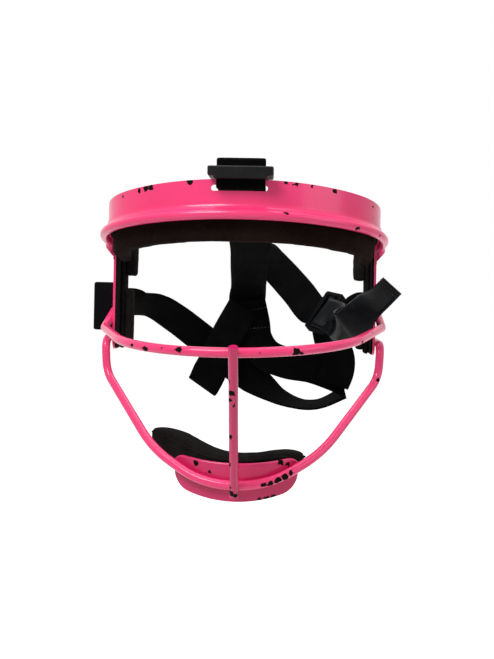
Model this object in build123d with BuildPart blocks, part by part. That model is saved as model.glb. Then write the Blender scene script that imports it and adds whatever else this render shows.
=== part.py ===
"""Softball fielder's face guard: a pressed steel forehead band with side plates, rods bent round the
face, a chin plate, foam pads, and a webbing harness with its sliders.

Lengths are millimetres. The origin is the centre of the wearer's head at eye level: +X is the
picture's right, -Y is the face's front and +Z is up.
"""

import math
import os

from build123d import *

os.makedirs("parts", exist_ok=True)

# Steel sheet and rods
SHEET = 1.5
ROD_DIAMETER = 5.5
CENTRE_ROD_DIAMETER = 5.2
WELD_GAP = 0.05
OVERRUN = 8.0

# Forehead band: its outer face in plan, then its height
BAND_HALF_WIDTH = 90.0
BAND_REACH = 83.0
SIDE_START = 7.0
TEMPLE_TURN = 45.0
BAND_TOP = 55.4
BAND_TILT = 9.0
LIP_CENTRE = 35.2
LIP_TILT = 8.5
LIP_DIAMETER = 5.8
LIP_COVE = 4.0
LIP_SEAT = 0.5
LIP_TURN = 8.0
LIP_END_LENGTH = 4.0
LIP_END_BEVEL = 50.0
LIP_END_STEP = 2.0

# Side plates, the band's two ends turned down beside the temples
PLATE_FRONT = 3.0
PLATE_REAR = 34.0
PLATE_BOTTOM = 52.0
PLATE_CORNER = 7.0

# Slots for the webbing
TOP_STRIP = 3.4
TOP_SLOT_WIDTH = 32.4
TOP_SLOT_HEIGHT = 3.4
REAR_POST = 3.2
SIDE_SLOT_WIDTH = 4.6
SIDE_SLOT_LENGTH = 30.0
SIDE_SLOT_DROP = 23.0

# Nose bar, bent over the face and welded outside the side plates
NOSE_REACH = 105.0
NOSE_DROP = 40.6
NOSE_RADIUS_SHARE = 0.857
NOSE_SWEEP = 68.0
NOSE_TILT = 3.9
NOSE_ROLL = 1.2
NOSE_BEND = 11.0
NOSE_END_BACK = 20.0
NOSE_END_DROP = 24.0

# Chin loop
CHIN_REACH = 68.0
CHIN_DROP = 122.3
LOOP_END_RISE = 8.0
LOOP_END_BACK = 24.0
LOOP_KNEE_REACH = 4.0
JAW_SHARE = (0.985, 0.075, 0.54)
CHEEK_SHARE = (0.56, 0.70, 0.875)
CHIN_FLAT_SHARE = 0.20
KNEE_BEND = 8.0
JAW_BEND = 18.0
CHEEK_BEND = 90.0
CHIN_BEND = 52.0

# Centre rod
CENTRE_ROD_TOP_RUN = 6.5
CENTRE_ROD_BOTTOM_RUN = 3.3

# Chin plate
CHIN_PLATE_HALF_SHARE = 0.405
PLATE_EDGE_GAP = 0.75
CHIN_PLATE_TOP = 111.6
CHIN_PLATE_TOP_RISE = 2.2
CHIN_PLATE_BOTTOM = 132.8
CHIN_PLATE_BOTTOM_RISE = 6.0
CHIN_PLATE_TOP_CORNER = 6.0
CHIN_PLATE_BOTTOM_CORNER = 12.0
CHIN_RIM_DIAMETER = 2.6

# Foam pads and their hook tape. A pad's crown is how far its middle swells past its edges
TAPE = 1.2
SOFT_GAP = 0.35
FOREHEAD_PAD_THICKNESS = 10.0
FOREHEAD_PAD_BOTTOM = 21.5
FOREHEAD_PAD_HEIGHT = 22.0
FOREHEAD_PAD_END = 2.0
FOREHEAD_PAD_INSET = 5.7
FOREHEAD_TAPE_BOTTOM = 36.0
FOREHEAD_TAPE_HEIGHT = 6.5
FOREHEAD_TAPE_END = 2.0
TEMPLE_PAD_THICKNESS = 7.5
TEMPLE_PAD_BOTTOM = 1.0
SIDE_PAD_THICKNESS = 3.0
SIDE_PAD_WIDTH = 13.0
SIDE_PAD_TOP = 24.0
TAPE_EDGE = 1.0
CHEEK_PAD_THICKNESS = 5.4
CHEEK_PAD_TOP = 11.0
CHEEK_PAD_BOTTOM = 49.0
CHEEK_CHANNEL = 1.2
CHIN_PAD_THICKNESS = 13.0
CHIN_PAD_SHARE = 0.68
CHIN_PAD_HEIGHT = 26.0
CHIN_PAD_TOP = 106.5
CHIN_PAD_WING_RISE = 9.0
CHIN_TAPE_SHARE = 0.7
CHIN_TAPE_HEIGHT = 12.0
PAD_ROUND = 2.5
PAD_CROWN = 1.5
SEAT_GAP = 0.15

# Webbing
WEBBING = 1.5
WEBBING_BEND = 1.3
WEBBING_STEPS = 4
TOP_STRAP_WIDTH = 28.0
TOP_STRAP_SHIFT = 0.8
TOP_STRAP_RUN = 44.0
TOP_STRAP_FALL = 0.4
STRAP_ARCH = 5.2
YOKE_START_SHARE = 0.953
YOKE_DROP_SHARE = 0.19
TAIL_SHARE = (0.62, 0.56, 0.245)
FLAP_GAP = 0.8
SIDE_STRAP_WIDTH = 26.0
HARNESS_REACH = 100.0
HARNESS_DROP = 100.0

# Sliders on the webbing
SLIDER_WALL = 3.2
SLIDER_LENGTH = 17.0
SLIDER_BAR = 3.4
SLIDER_BAR_HEIGHT = 2.4
SLIDER_CLEARANCE = 1.0
BAR_GAP = 0.45
TOP_SLIDER_WIDTH = 37.0
TOP_SLIDER_TOP = 61.6
TOP_SLIDER_HEIGHT = 5.2
FRONT_BAR_HEIGHT = 7.0
FRONT_BAR_LENGTH = 5.6


def plan_radii(half, depth):
    """Front and temple radii of a plan of two tangent arcs, and how far apart their centres are."""
    turn = math.radians(TEMPLE_TURN)
    apart = (half - depth) / (math.sin(turn) + math.cos(turn) - 1)
    temple = half - apart * math.sin(turn)
    return temple + apart, temple, apart


def plan_arcs(out, stretch=1):
    """Draws the band's plan in the line at hand, moved outwards; its centre front is at the origin.

    Returns the left and right ends, where the straight sides start.
    """
    half, depth = BAND_HALF_WIDTH + out, (BAND_REACH - SIDE_START + out) * stretch
    front, temple, apart = plan_radii(half, depth)
    turn = math.radians(TEMPLE_TURN)
    side, back = apart * math.sin(turn), front - apart * math.cos(turn)
    CenterArc((0, front), front, 270 - TEMPLE_TURN, 2 * TEMPLE_TURN)
    CenterArc((side, back), temple, 270 + TEMPLE_TURN, 90 - TEMPLE_TURN)
    CenterArc((-side, back), temple, 180, 90 - TEMPLE_TURN)
    return (-half, back), (half, back)


def plan_region(out, rear, mode=Mode.ADD):
    """Fills the band's plan in the sketch at hand, moved outwards, back to y = rear."""
    with BuildLine(Plane((0, -BAND_REACH - out, 0))) as outline:
        left, right = plan_arcs(out)
        back = rear + BAND_REACH + out
        Polyline(right, (right[0], back), (left[0], back), left)
    make_face(outline.edges(), mode=mode)


def plan_wall(outer, inner, rear):
    """Fills the strip between two offsets of the band's plan."""
    plan_region(outer, rear)
    plan_region(inner, rear + OVERRUN, Mode.SUBTRACT)


def band_drop(height, tilt, y):
    """Height at y of a line that has a height at the band's front and falls away to the rear."""
    return height - math.tan(math.radians(tilt)) * (y + BAND_REACH)


# Pressed sheet: the band, its side plates and the lip rolled along the lower edge
plate_top = band_drop(BAND_TOP, BAND_TILT, PLATE_REAR)
wall_front = -BAND_REACH - OVERRUN
lip_out = LIP_DIAMETER / 2 - LIP_SEAT
lip_plane = Plane(
    (0, -BAND_REACH - lip_out, LIP_CENTRE),
    x_dir=(1, 0, 0),
    z_dir=(0, math.sin(math.radians(LIP_TILT)), math.cos(math.radians(LIP_TILT))),
)
cove_height = math.sqrt((LIP_COVE + LIP_DIAMETER / 2) ** 2 - (LIP_COVE - lip_out) ** 2)
cove_reach = (LIP_DIAMETER / 2) / (LIP_COVE + LIP_DIAMETER / 2)

with BuildPart() as guard_shell:
    with BuildSketch(Plane.XY.offset(-PLATE_BOTTOM - OVERRUN)):
        plan_wall(0, -SHEET, PLATE_REAR)
    extrude(amount=PLATE_BOTTOM + BAND_TOP + 2 * OVERRUN)
    with BuildSketch(Plane.YZ):
        with BuildLine():
            edge = FilletPolyline(
                (wall_front, band_drop(LIP_CENTRE, LIP_TILT, wall_front)),
                (PLATE_FRONT, band_drop(LIP_CENTRE, LIP_TILT, PLATE_FRONT)),
                (PLATE_FRONT, -PLATE_BOTTOM),
                (PLATE_REAR, -PLATE_BOTTOM),
                (PLATE_REAR, plate_top),
                (wall_front, band_drop(BAND_TOP, BAND_TILT, wall_front)),
                radius=[LIP_TURN, PLATE_CORNER, PLATE_CORNER, PLATE_CORNER],
            )
            Line(edge @ 1, edge @ 0)
        make_face()
    extrude(amount=BAND_HALF_WIDTH + OVERRUN, both=True, mode=Mode.INTERSECT)
    with BuildSketch(Plane.XZ.offset(BAND_REACH + OVERRUN)):
        with Locations((0, BAND_TOP - TOP_STRIP - TOP_SLOT_HEIGHT / 2)):
            SlotOverall(TOP_SLOT_WIDTH, TOP_SLOT_HEIGHT)
    extrude(amount=-2 * OVERRUN, mode=Mode.SUBTRACT)
    with BuildSketch(Plane.YZ):
        with Locations((PLATE_REAR - REAR_POST - SIDE_SLOT_WIDTH / 2, -SIDE_SLOT_DROP)):
            SlotOverall(SIDE_SLOT_LENGTH, SIDE_SLOT_WIDTH, rotation=90)
    extrude(amount=BAND_HALF_WIDTH + OVERRUN, both=True, mode=Mode.SUBTRACT)

    with BuildLine(lip_plane) as lip_front:
        lip_ends = plan_arcs(lip_out, 1 / math.cos(math.radians(LIP_TILT)))
    lip_half = BAND_HALF_WIDTH + lip_out
    lip_corner = band_drop(LIP_CENTRE, LIP_TILT, PLATE_FRONT)
    with BuildLine() as lip_path:
        add(lip_front.line)
        for side in (-1, 1):
            start = lip_plane.from_local_coords(lip_ends[side > 0])
            FilletPolyline(
                start,
                (side * lip_half, PLATE_FRONT, lip_corner),
                (side * lip_half, PLATE_FRONT, lip_corner - LIP_TURN - LIP_END_LENGTH),
                radius=LIP_TURN,
            )
    lip_wire = lip_path.wires()[0]
    with BuildSketch(Plane(lip_wire @ 0.5, x_dir=(0, -1, 0), z_dir=(-1, 0, 0))):
        Circle(LIP_DIAMETER / 2)
        with BuildLine():
            cove_top = (-lip_out, cove_height)
            cove_end = ((LIP_COVE - lip_out) * cove_reach, cove_height * cove_reach)
            Polyline((0, 0), (-lip_out - SHEET / 2, 0), (-lip_out - SHEET / 2, cove_height), cove_top)
            TangentArc(cove_top, cove_end, tangent=(0, -1))
            Line(cove_end, (0, 0))
        make_face()
    sweep(path=lip_wire)
    bevel_bottom = lip_corner - LIP_TURN - LIP_END_LENGTH + LIP_END_STEP
    bevel_rise = OVERRUN * math.tan(math.radians(LIP_END_BEVEL))
    with BuildSketch(Plane.XZ.offset(LIP_TURN)):
        for side in (-1, 1):
            with BuildLine():
                Polyline(
                    (side * BAND_HALF_WIDTH, bevel_bottom),
                    (side * (BAND_HALF_WIDTH + OVERRUN), bevel_bottom + bevel_rise),
                    (side * (BAND_HALF_WIDTH + OVERRUN), bevel_bottom - OVERRUN),
                    (side * BAND_HALF_WIDTH, bevel_bottom - OVERRUN),
                    close=True,
                )
            make_face()
    extrude(amount=-2 * LIP_TURN - OVERRUN, mode=Mode.SUBTRACT)
guard_shell.part.label = "guard_shell"
export_step(guard_shell.part, "parts/guard_shell.step")


# Nose bar: one arc over the face, tangent sides, and ends bent up along the side plates
rod_half = BAND_HALF_WIDTH + ROD_DIAMETER / 2 + WELD_GAP
nose_tilt, nose_roll = math.radians(NOSE_TILT), math.radians(NOSE_ROLL)
nose_back = Vector(0, math.cos(nose_tilt), math.sin(nose_tilt))
nose_across = Vector(1, -math.tan(nose_roll) * math.sin(nose_tilt), math.tan(nose_roll) * math.cos(nose_tilt))
nose_across = nose_across.normalized()
nose_plane = Plane(
    (0, -NOSE_REACH, -NOSE_DROP),
    x_dir=nose_across,
    z_dir=nose_across.cross(nose_back),
)
nose_sweep = math.radians(NOSE_SWEEP)
nose_radius = NOSE_RADIUS_SHARE * rod_half
nose_arc_half = nose_radius * math.sin(nose_sweep)
nose_arc_back = nose_radius * (1 - math.cos(nose_sweep))
nose_half = rod_half / math.cos(nose_roll)
nose_corner_back = nose_arc_back + (nose_half - nose_arc_half) * math.tan(nose_sweep)
nose_end_rise = rod_half * math.tan(nose_roll)

with BuildPart() as nose_bar:
    with BuildLine() as nose_line:
        arc_ends = [
            nose_plane.from_local_coords(Vector(side * nose_arc_half, nose_arc_back)) for side in (-1, 1)
        ]
        ThreePointArc(arc_ends[0], (0, -NOSE_REACH, -NOSE_DROP), arc_ends[1])
        for side in (-1, 1):
            FilletPolyline(
                arc_ends[side > 0],
                nose_plane.from_local_coords(Vector(side * nose_half, nose_corner_back)),
                (side * rod_half, NOSE_END_BACK, side * nose_end_rise - NOSE_END_DROP),
                radius=NOSE_BEND,
            )
    nose_wire = nose_line.wires()[0]
    with BuildSketch(Plane(nose_wire @ 0.5, z_dir=nose_wire % 0.5)):
        Circle(ROD_DIAMETER / 2)
    sweep(path=nose_wire)
nose_bar.part.label = "nose_bar"
export_step(nose_bar.part, "parts/nose_bar.step")


# Chin loop: from the plates' lower ends, down the jaw and round the chin
def loop_point(side, shares):
    """Point of the chin loop from shares of its half width, reach and drop."""
    return (side * shares[0] * rod_half, -shares[1] * CHIN_REACH, -shares[2] * CHIN_DROP)


loop_end_drop = PLATE_BOTTOM - LOOP_END_RISE
loop_half = [
    (rod_half, LOOP_END_BACK, -loop_end_drop),
    (rod_half, -LOOP_KNEE_REACH, -loop_end_drop),
    loop_point(1, JAW_SHARE),
    loop_point(1, CHEEK_SHARE),
    loop_point(1, (CHIN_FLAT_SHARE, 1, 1)),
]
loop_bends = [KNEE_BEND, JAW_BEND, CHEEK_BEND, CHIN_BEND]

with BuildPart() as chin_loop:
    with BuildLine() as loop_line:
        FilletPolyline(
            [(-x, y, z) for x, y, z in loop_half] + loop_half[::-1],
            radius=loop_bends + loop_bends[::-1],
        )
    loop_wire = loop_line.wires()[0]
    with BuildSketch(Plane(loop_wire @ 0, z_dir=loop_wire % 0)):
        Circle(ROD_DIAMETER / 2)
    sweep(path=loop_wire)
chin_loop.part.label = "chin_loop"
export_step(chin_loop.part, "parts/chin_loop.step")


# Centre rod: laid across the front of the nose bar and the chin loop, cut square at both ends
bar_centre = Vector(0, -NOSE_REACH, -NOSE_DROP)
loop_centre = Vector(0, -CHIN_REACH, -CHIN_DROP)
rod_run = (loop_centre - bar_centre).normalized()
rod_forward = Vector(0, rod_run.Z, -rod_run.Y)
rod_stand_off = (ROD_DIAMETER + CENTRE_ROD_DIAMETER) / 2 + WELD_GAP
rod_top = bar_centre + rod_forward * rod_stand_off - rod_run * CENTRE_ROD_TOP_RUN
rod_length = (loop_centre - bar_centre).length + CENTRE_ROD_TOP_RUN + CENTRE_ROD_BOTTOM_RUN

with BuildPart() as centre_rod:
    with BuildSketch(Plane(rod_top, x_dir=(1, 0, 0), z_dir=rod_run)):
        Circle(CENTRE_ROD_DIAMETER / 2)
    extrude(amount=rod_length)
centre_rod.part.label = "centre_rod"
export_step(centre_rod.part, "parts/centre_rod.step")


# Chin plate: an arc of sheet behind the chin loop, with a rim rolled along its upper edge
chin_face = -CHIN_REACH + ROD_DIAMETER / 2 + WELD_GAP
chin_half = CHIN_PLATE_HALF_SHARE * rod_half
loop_flat, loop_cheek = loop_point(1, (CHIN_FLAT_SHARE, 1, 1)), loop_point(1, CHEEK_SHARE)
loop_share = (chin_half - loop_flat[0]) / (loop_cheek[0] - loop_flat[0])
loop_edge = loop_flat[1] + loop_share * (loop_cheek[1] - loop_flat[1])
chin_depth = loop_edge + (ROD_DIAMETER + CHIN_RIM_DIAMETER) / 2 + PLATE_EDGE_GAP - chin_face
chin_radius = (chin_half**2 + chin_depth**2) / (2 * chin_depth)
chin_centre = chin_face + chin_radius
chin_axis = Plane((0, chin_centre, -CHIN_PLATE_BOTTOM - OVERRUN))

with BuildPart() as chin_plate:
    with BuildSketch(chin_axis):
        Circle(chin_radius)
        Circle(chin_radius - SHEET, mode=Mode.SUBTRACT)
    extrude(amount=CHIN_PLATE_BOTTOM - CHIN_PLATE_TOP + 2 * OVERRUN + CHIN_PLATE_TOP_RISE)
    with BuildSketch(Plane.XZ):
        with BuildLine():
            top = ThreePointArc(
                (-chin_half, -CHIN_PLATE_TOP + CHIN_PLATE_TOP_RISE),
                (0, -CHIN_PLATE_TOP),
                (chin_half, -CHIN_PLATE_TOP + CHIN_PLATE_TOP_RISE),
            )
            bottom = ThreePointArc(
                (-chin_half, -CHIN_PLATE_BOTTOM + CHIN_PLATE_BOTTOM_RISE),
                (0, -CHIN_PLATE_BOTTOM),
                (chin_half, -CHIN_PLATE_BOTTOM + CHIN_PLATE_BOTTOM_RISE),
            )
            Line(top @ 0, bottom @ 0)
            Line(top @ 1, bottom @ 1)
        outline = make_face()
        corners = outline.vertices().sort_by(Axis.Y)
        fillet(corners[:2], CHIN_PLATE_BOTTOM_CORNER)
        fillet(vertices().sort_by(Axis.Y)[-2:], CHIN_PLATE_TOP_CORNER)
    extrude(amount=CHIN_REACH + OVERRUN, mode=Mode.INTERSECT)
    outer_face = faces().filter_by(GeomType.CYLINDER).sort_by(SortBy.AREA)[-1]
    rim_wire = Wire(outer_face.outer_wire().edges().sort_by(Axis.Z)[-3:])
    with BuildSketch(Plane(rim_wire @ 0, z_dir=rim_wire % 0)):
        Circle(CHIN_RIM_DIAMETER / 2)
    sweep(path=rim_wire)
chin_plate.part.label = "chin_plate"
export_step(chin_plate.part, "parts/chin_plate.step")


def pad_section(plane, thickness, height):
    """Cross-section of a foam pad: flat on the +X side of its plane, swelling on the other side."""
    with BuildSketch(plane) as section:
        with BuildLine():
            back = Line((thickness / 2, -height / 2), (thickness / 2, height / 2))
            swell = ThreePointArc(
                (PAD_CROWN - thickness / 2, -height / 2),
                (-thickness / 2, 0),
                (PAD_CROWN - thickness / 2, height / 2),
            )
            Line(back @ 0, swell @ 0)
            Line(back @ 1, swell @ 1)
        make_face()
        fillet(vertices(), thickness / 4)
    return section.sketch


def band_strip(outer, inner, bottom, height, end):
    """Strip round the band's inside between two offsets; its edges run with the band's tilt."""
    with BuildPart() as strip:
        with BuildSketch():
            plan_wall(outer, inner, end)
        extrude(amount=BAND_TOP)
        with BuildSketch(Plane.YZ):
            with BuildLine():
                Polyline(
                    (wall_front, band_drop(bottom, BAND_TILT, wall_front)),
                    (end, band_drop(bottom, BAND_TILT, end)),
                    (end, band_drop(bottom + height, BAND_TILT, end)),
                    (wall_front, band_drop(bottom + height, BAND_TILT, wall_front)),
                    close=True,
                )
            make_face()
        extrude(amount=BAND_HALF_WIDTH, both=True, mode=Mode.INTERSECT)
    return strip.part


# Forehead pad and the hook tape that holds it in the band
tape_out = -SHEET - SEAT_GAP
pad_out = tape_out - TAPE - SEAT_GAP
pad_in = pad_out - FOREHEAD_PAD_THICKNESS

with BuildPart() as forehead_tape:
    add(band_strip(tape_out, tape_out - TAPE, FOREHEAD_TAPE_BOTTOM, FOREHEAD_TAPE_HEIGHT, FOREHEAD_TAPE_END))
forehead_tape.part.label = "forehead_hook_tape"
export_step(forehead_tape.part, "parts/forehead_hook_tape.step")

with BuildPart() as forehead_pad:
    add(band_strip(pad_out, pad_in, FOREHEAD_PAD_BOTTOM, FOREHEAD_PAD_HEIGHT, FOREHEAD_PAD_END))
    pad_half = BAND_HALF_WIDTH - FOREHEAD_PAD_INSET
    Box(2 * pad_half, 2 * (BAND_REACH + OVERRUN), 2 * BAND_TOP, mode=Mode.INTERSECT)
    fillet(edges().filter_by(Axis.Z, reverse=True), PAD_ROUND)
forehead_pad.part.label = "forehead_pad"
export_step(forehead_pad.part, "parts/forehead_pad.step")


# Pads down the side plates: tape, a thin strip, and a temple and a cheek pad on the strip
slot_front = PLATE_REAR - REAR_POST - SIDE_SLOT_WIDTH
strip_back = slot_front - SOFT_GAP
strip_middle = strip_back - SIDE_PAD_WIDTH / 2
plate_inner = BAND_HALF_WIDTH - SHEET
tape_inner = plate_inner - SEAT_GAP - TAPE
strip_inner = tape_inner - SEAT_GAP - SIDE_PAD_THICKNESS
strip_height = SIDE_PAD_TOP + PLATE_BOTTOM


for side, name in ((-1, "left"), (1, "right")):
    with BuildPart() as side_tape:
        with BuildSketch(Plane.YZ.offset(side * tape_inner)):
            with Locations(((PLATE_FRONT + strip_back) / 2, (SIDE_PAD_TOP - PLATE_BOTTOM) / 2)):
                RectangleRounded(
                    strip_back - PLATE_FRONT - 2 * TAPE_EDGE, strip_height - 2 * TAPE_EDGE, PAD_ROUND
                )
        extrude(amount=side * TAPE)
    side_tape.part.label = name + "_hook_tape"
    export_step(side_tape.part, "parts/" + side_tape.part.label + ".step")

    with BuildPart() as side_pad:
        with BuildSketch(Plane.YZ.offset(side * strip_inner)):
            with Locations((strip_middle, (SIDE_PAD_TOP - PLATE_BOTTOM) / 2)):
                RectangleRounded(SIDE_PAD_WIDTH, strip_height, PAD_ROUND)
        extrude(amount=side * SIDE_PAD_THICKNESS)
        fillet(faces().sort_by(Axis.X)[0 if side > 0 else -1].edges(), SIDE_PAD_THICKNESS / 3)
    side_pad.part.label = name + "_side_pad"
    export_step(side_pad.part, "parts/" + side_pad.part.label + ".step")

    cheek_middle = side * (strip_inner - SEAT_GAP - CHEEK_PAD_THICKNESS / 2)
    with BuildPart() as cheek_pad:
        cheek_plane = Plane((cheek_middle, strip_middle, -CHEEK_PAD_BOTTOM), x_dir=(side, 0, 0))
        add(pad_section(cheek_plane, CHEEK_PAD_THICKNESS, SIDE_PAD_WIDTH))
        extrude(amount=CHEEK_PAD_BOTTOM - CHEEK_PAD_TOP)
        fillet(faces().filter_by(Axis.Z).edges(), CHEEK_CHANNEL)
        with BuildSketch(Plane.XZ.offset(SIDE_PAD_WIDTH / 2 - strip_middle)):
            with Locations((cheek_middle, -(CHEEK_PAD_TOP + CHEEK_PAD_BOTTOM) / 2)):
                with GridLocations(CHEEK_PAD_THICKNESS / 3, 0, 2, 1):
                    Rectangle(CHEEK_CHANNEL / 2, CHEEK_PAD_BOTTOM)
        extrude(amount=-CHEEK_CHANNEL, mode=Mode.SUBTRACT)
    cheek_pad.part.label = name + "_cheek_pad"
    export_step(cheek_pad.part, "parts/" + cheek_pad.part.label + ".step")

    temple_middle = side * (strip_inner - SEAT_GAP - TEMPLE_PAD_THICKNESS / 2)
    with BuildPart() as temple_pad:
        temple_plane = Plane((temple_middle, strip_middle, -TEMPLE_PAD_BOTTOM), x_dir=(side, 0, 0))
        add(pad_section(temple_plane, TEMPLE_PAD_THICKNESS, SIDE_PAD_WIDTH))
        extrude(amount=SIDE_PAD_TOP + TEMPLE_PAD_BOTTOM)
        fillet(faces().filter_by(Axis.Z).edges(), CHEEK_CHANNEL)
    temple_pad.part.label = name + "_temple_pad"
    export_step(temple_pad.part, "parts/" + temple_pad.part.label + ".step")


# Chin pad and its tape, bent inside the chin plate; its wings rise past the plate's ends
chin_tape_outer = chin_radius - SHEET - SEAT_GAP
chin_pad_outer = chin_tape_outer - TAPE - SEAT_GAP
chin_middle = (CHIN_PLATE_TOP + CHIN_PLATE_BOTTOM) / 2

with BuildPart() as chin_tape:
    tape_angle = math.degrees(math.asin(CHIN_TAPE_SHARE * chin_half / chin_tape_outer))
    with BuildLine(Plane((0, chin_centre, -chin_middle))) as chin_tape_line:
        CenterArc((0, 0), chin_tape_outer - TAPE / 2, 270 - tape_angle, 2 * tape_angle)
    tape_wire = chin_tape_line.wires()[0]
    with BuildSketch(Plane(tape_wire @ 0, x_dir=(0, 0, 1), z_dir=tape_wire % 0)):
        Rectangle(CHIN_TAPE_HEIGHT, TAPE)
    sweep(path=tape_wire)
chin_tape.part.label = "chin_hook_tape"
export_step(chin_tape.part, "parts/chin_hook_tape.step")

# Along the pad: share of its wing's length, of its wing's rise, of its height and of its thickness
chin_pad_shares = [
    (-1.00, 1.62, 0.48, 0.50),
    (-0.925, 1.32, 0.76, 0.85),
    (-0.66, 1.15, 0.86, 1.00),
    (-0.36, 0.60, 0.95, 1.00),
    (-0.14, 0.12, 1.00, 0.95),
    (0.105, 0.00, 1.00, 0.95),
    (0.36, 0.15, 0.95, 1.00),
    (0.57, 0.22, 0.86, 1.00),
    (0.63, 0.50, 0.62, 0.90),
    (0.68, 0.80, 0.34, 0.70),
    (0.72, 0.85, 0.23, 0.45),
]
with BuildPart() as chin_pad:
    sections = []
    middle = chin_pad_outer - CHIN_PAD_THICKNESS / 2
    edge_turn = math.asin(chin_half / chin_radius)
    for along, rise, tall, thick in chin_pad_shares:
        wing = along * CHIN_PAD_SHARE * rod_half
        turn = max(-edge_turn, min(edge_turn, wing / middle))
        run = Vector(math.cos(turn), math.sin(turn), 0)
        bend = Vector(middle * math.sin(turn), chin_centre - middle * math.cos(turn), 0)
        height = rise * CHIN_PAD_WING_RISE - CHIN_PAD_TOP - CHIN_PAD_HEIGHT / 2
        origin = bend + run * (wing - turn * middle) + Vector(0, 0, height)
        with BuildSketch(Plane(origin, x_dir=(0, 0, 1), z_dir=run)) as section:
            RectangleRounded(tall * CHIN_PAD_HEIGHT, thick * CHIN_PAD_THICKNESS, PAD_ROUND)
        sections.append(section.sketch)
    loft(sections)
chin_pad.part.label = "chin_pad"
export_step(chin_pad.part, "parts/chin_pad.step")


# Webbing
def ribbon(start, run, across, shares, width):
    """Strap of webbing through stations: shares of the harness's sizes, and directions across it."""
    size = Vector(BAND_HALF_WIDTH, HARNESS_REACH, HARNESS_DROP)
    centres = [start] + [Vector(row[0] * size.X, row[1] * size.Y, row[2] * size.Z) for row in shares]
    lies = [across] + [Vector(*row[3:]).normalized() for row in shares]
    last = len(centres) - 1
    points, widths = [], []
    for i in range(last):
        before, after = centres[max(i - 1, 0)], centres[min(i + 2, last)]
        for step in range(WEBBING_STEPS + (i == last - 1)):
            t = step / WEBBING_STEPS
            ease = 3 * t**2 - 2 * t**3
            leave = (centres[i + 1] - before).normalized() * (t - 2 * t**2 + t**3)
            arrive = (after - centres[i]).normalized() * (t**3 - t**2)
            reach = (centres[i + 1] - centres[i]).length
            points.append(centres[i] * (1 - ease) + centres[i + 1] * ease + (leave + arrive) * reach)
            widths.append(lies[i] * (1 - t) + lies[i + 1] * t)
    sections = []
    for i, point in enumerate(points):
        along = (points[min(i + 1, len(points) - 1)] - points[max(i - 1, 0)]).normalized()
        along = along if i else run.normalized()
        side = (widths[i] - along * widths[i].dot(along)).normalized()
        with BuildSketch(Plane(point, x_dir=side, z_dir=along)) as section:
            Rectangle(width, WEBBING)
        sections.append(section.sketch.wires()[0])
    return Solid.make_loft(sections, ruled=True)


# Top strap: tucked behind the band's top strip, up through its slider and back over the head
slot_height = BAND_TOP - TOP_STRIP - TOP_SLOT_HEIGHT / 2
front_radius = plan_radii(BAND_HALF_WIDTH, BAND_REACH - SIDE_START)[0]
strap_edge = TOP_STRAP_WIDTH / 2 + TOP_STRAP_SHIFT
strap_bow = front_radius - math.sqrt(front_radius**2 - strap_edge**2)
strap_inside = -BAND_REACH + SHEET + strap_bow + SOFT_GAP + WEBBING / 2
strap_outside = -BAND_REACH - SOFT_GAP - WEBBING / 2
front_lay = strap_outside + WEBBING
centre_bar = front_lay + WEBBING / 2 + BAR_GAP + SLIDER_BAR / 2
rear_lay = centre_bar + SLIDER_BAR / 2 + BAR_GAP + WEBBING / 2
strap_crest = TOP_SLIDER_TOP + STRAP_ARCH
strap_dip = BAND_TOP - WEBBING
strap_run = Vector(0, 1, -TOP_STRAP_FALL)
strap_join = Vector(TOP_STRAP_SHIFT, rear_lay, strap_dip) + strap_run * TOP_STRAP_RUN
top_strap_shares = [
    (0.045, -0.05, 0.23, 1, 0, 0),
    (0.02, 0.50, 0.06, 1, 0, 0),
    (0.00, 0.90, -0.09, 1, 0, 0),
    (-0.02, 0.975, -0.17, 1, 0, 0),
    (-0.02, 0.99, -0.28, 1, 0, 0),
    (-0.025, 0.995, -0.42, 1, 0, 0),
]
with BuildPart() as top_strap:
    with BuildSketch(Plane.YZ.offset(TOP_STRAP_SHIFT)):
        with BuildLine():
            FilletPolyline(
                (strap_inside, slot_height + TOP_STRIP + WEBBING),
                (strap_inside, slot_height),
                (strap_outside, slot_height),
                (strap_outside, BAND_TOP + WEBBING),
                (front_lay, BAND_TOP + 3 * WEBBING),
                (front_lay, strap_crest),
                (rear_lay, strap_crest),
                (rear_lay, strap_dip),
                (strap_join.Y, strap_join.Z),
                radius=WEBBING_BEND,
            )
        trace(line_width=WEBBING)
    extrude(amount=TOP_STRAP_WIDTH / 2, both=True)
    add(ribbon(strap_join, strap_run, Vector(1, 0, 0), top_strap_shares, TOP_STRAP_WIDTH))
top_strap.part.label = "top_strap"
export_step(top_strap.part, "parts/top_strap.step")


# Side straps: each passes its plate's slot; the left one runs under the right one's lower fold
slot_y = PLATE_REAR - REAR_POST - SIDE_SLOT_WIDTH / 2
webbing_inner = plate_inner - SOFT_GAP - WEBBING / 2
webbing_outer = BAND_HALF_WIDTH + SOFT_GAP + WEBBING / 2
anchor_end = PLATE_REAR + 2 * WEBBING
side_plane = Plane.XY.offset(-SIDE_SLOT_DROP)

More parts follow.
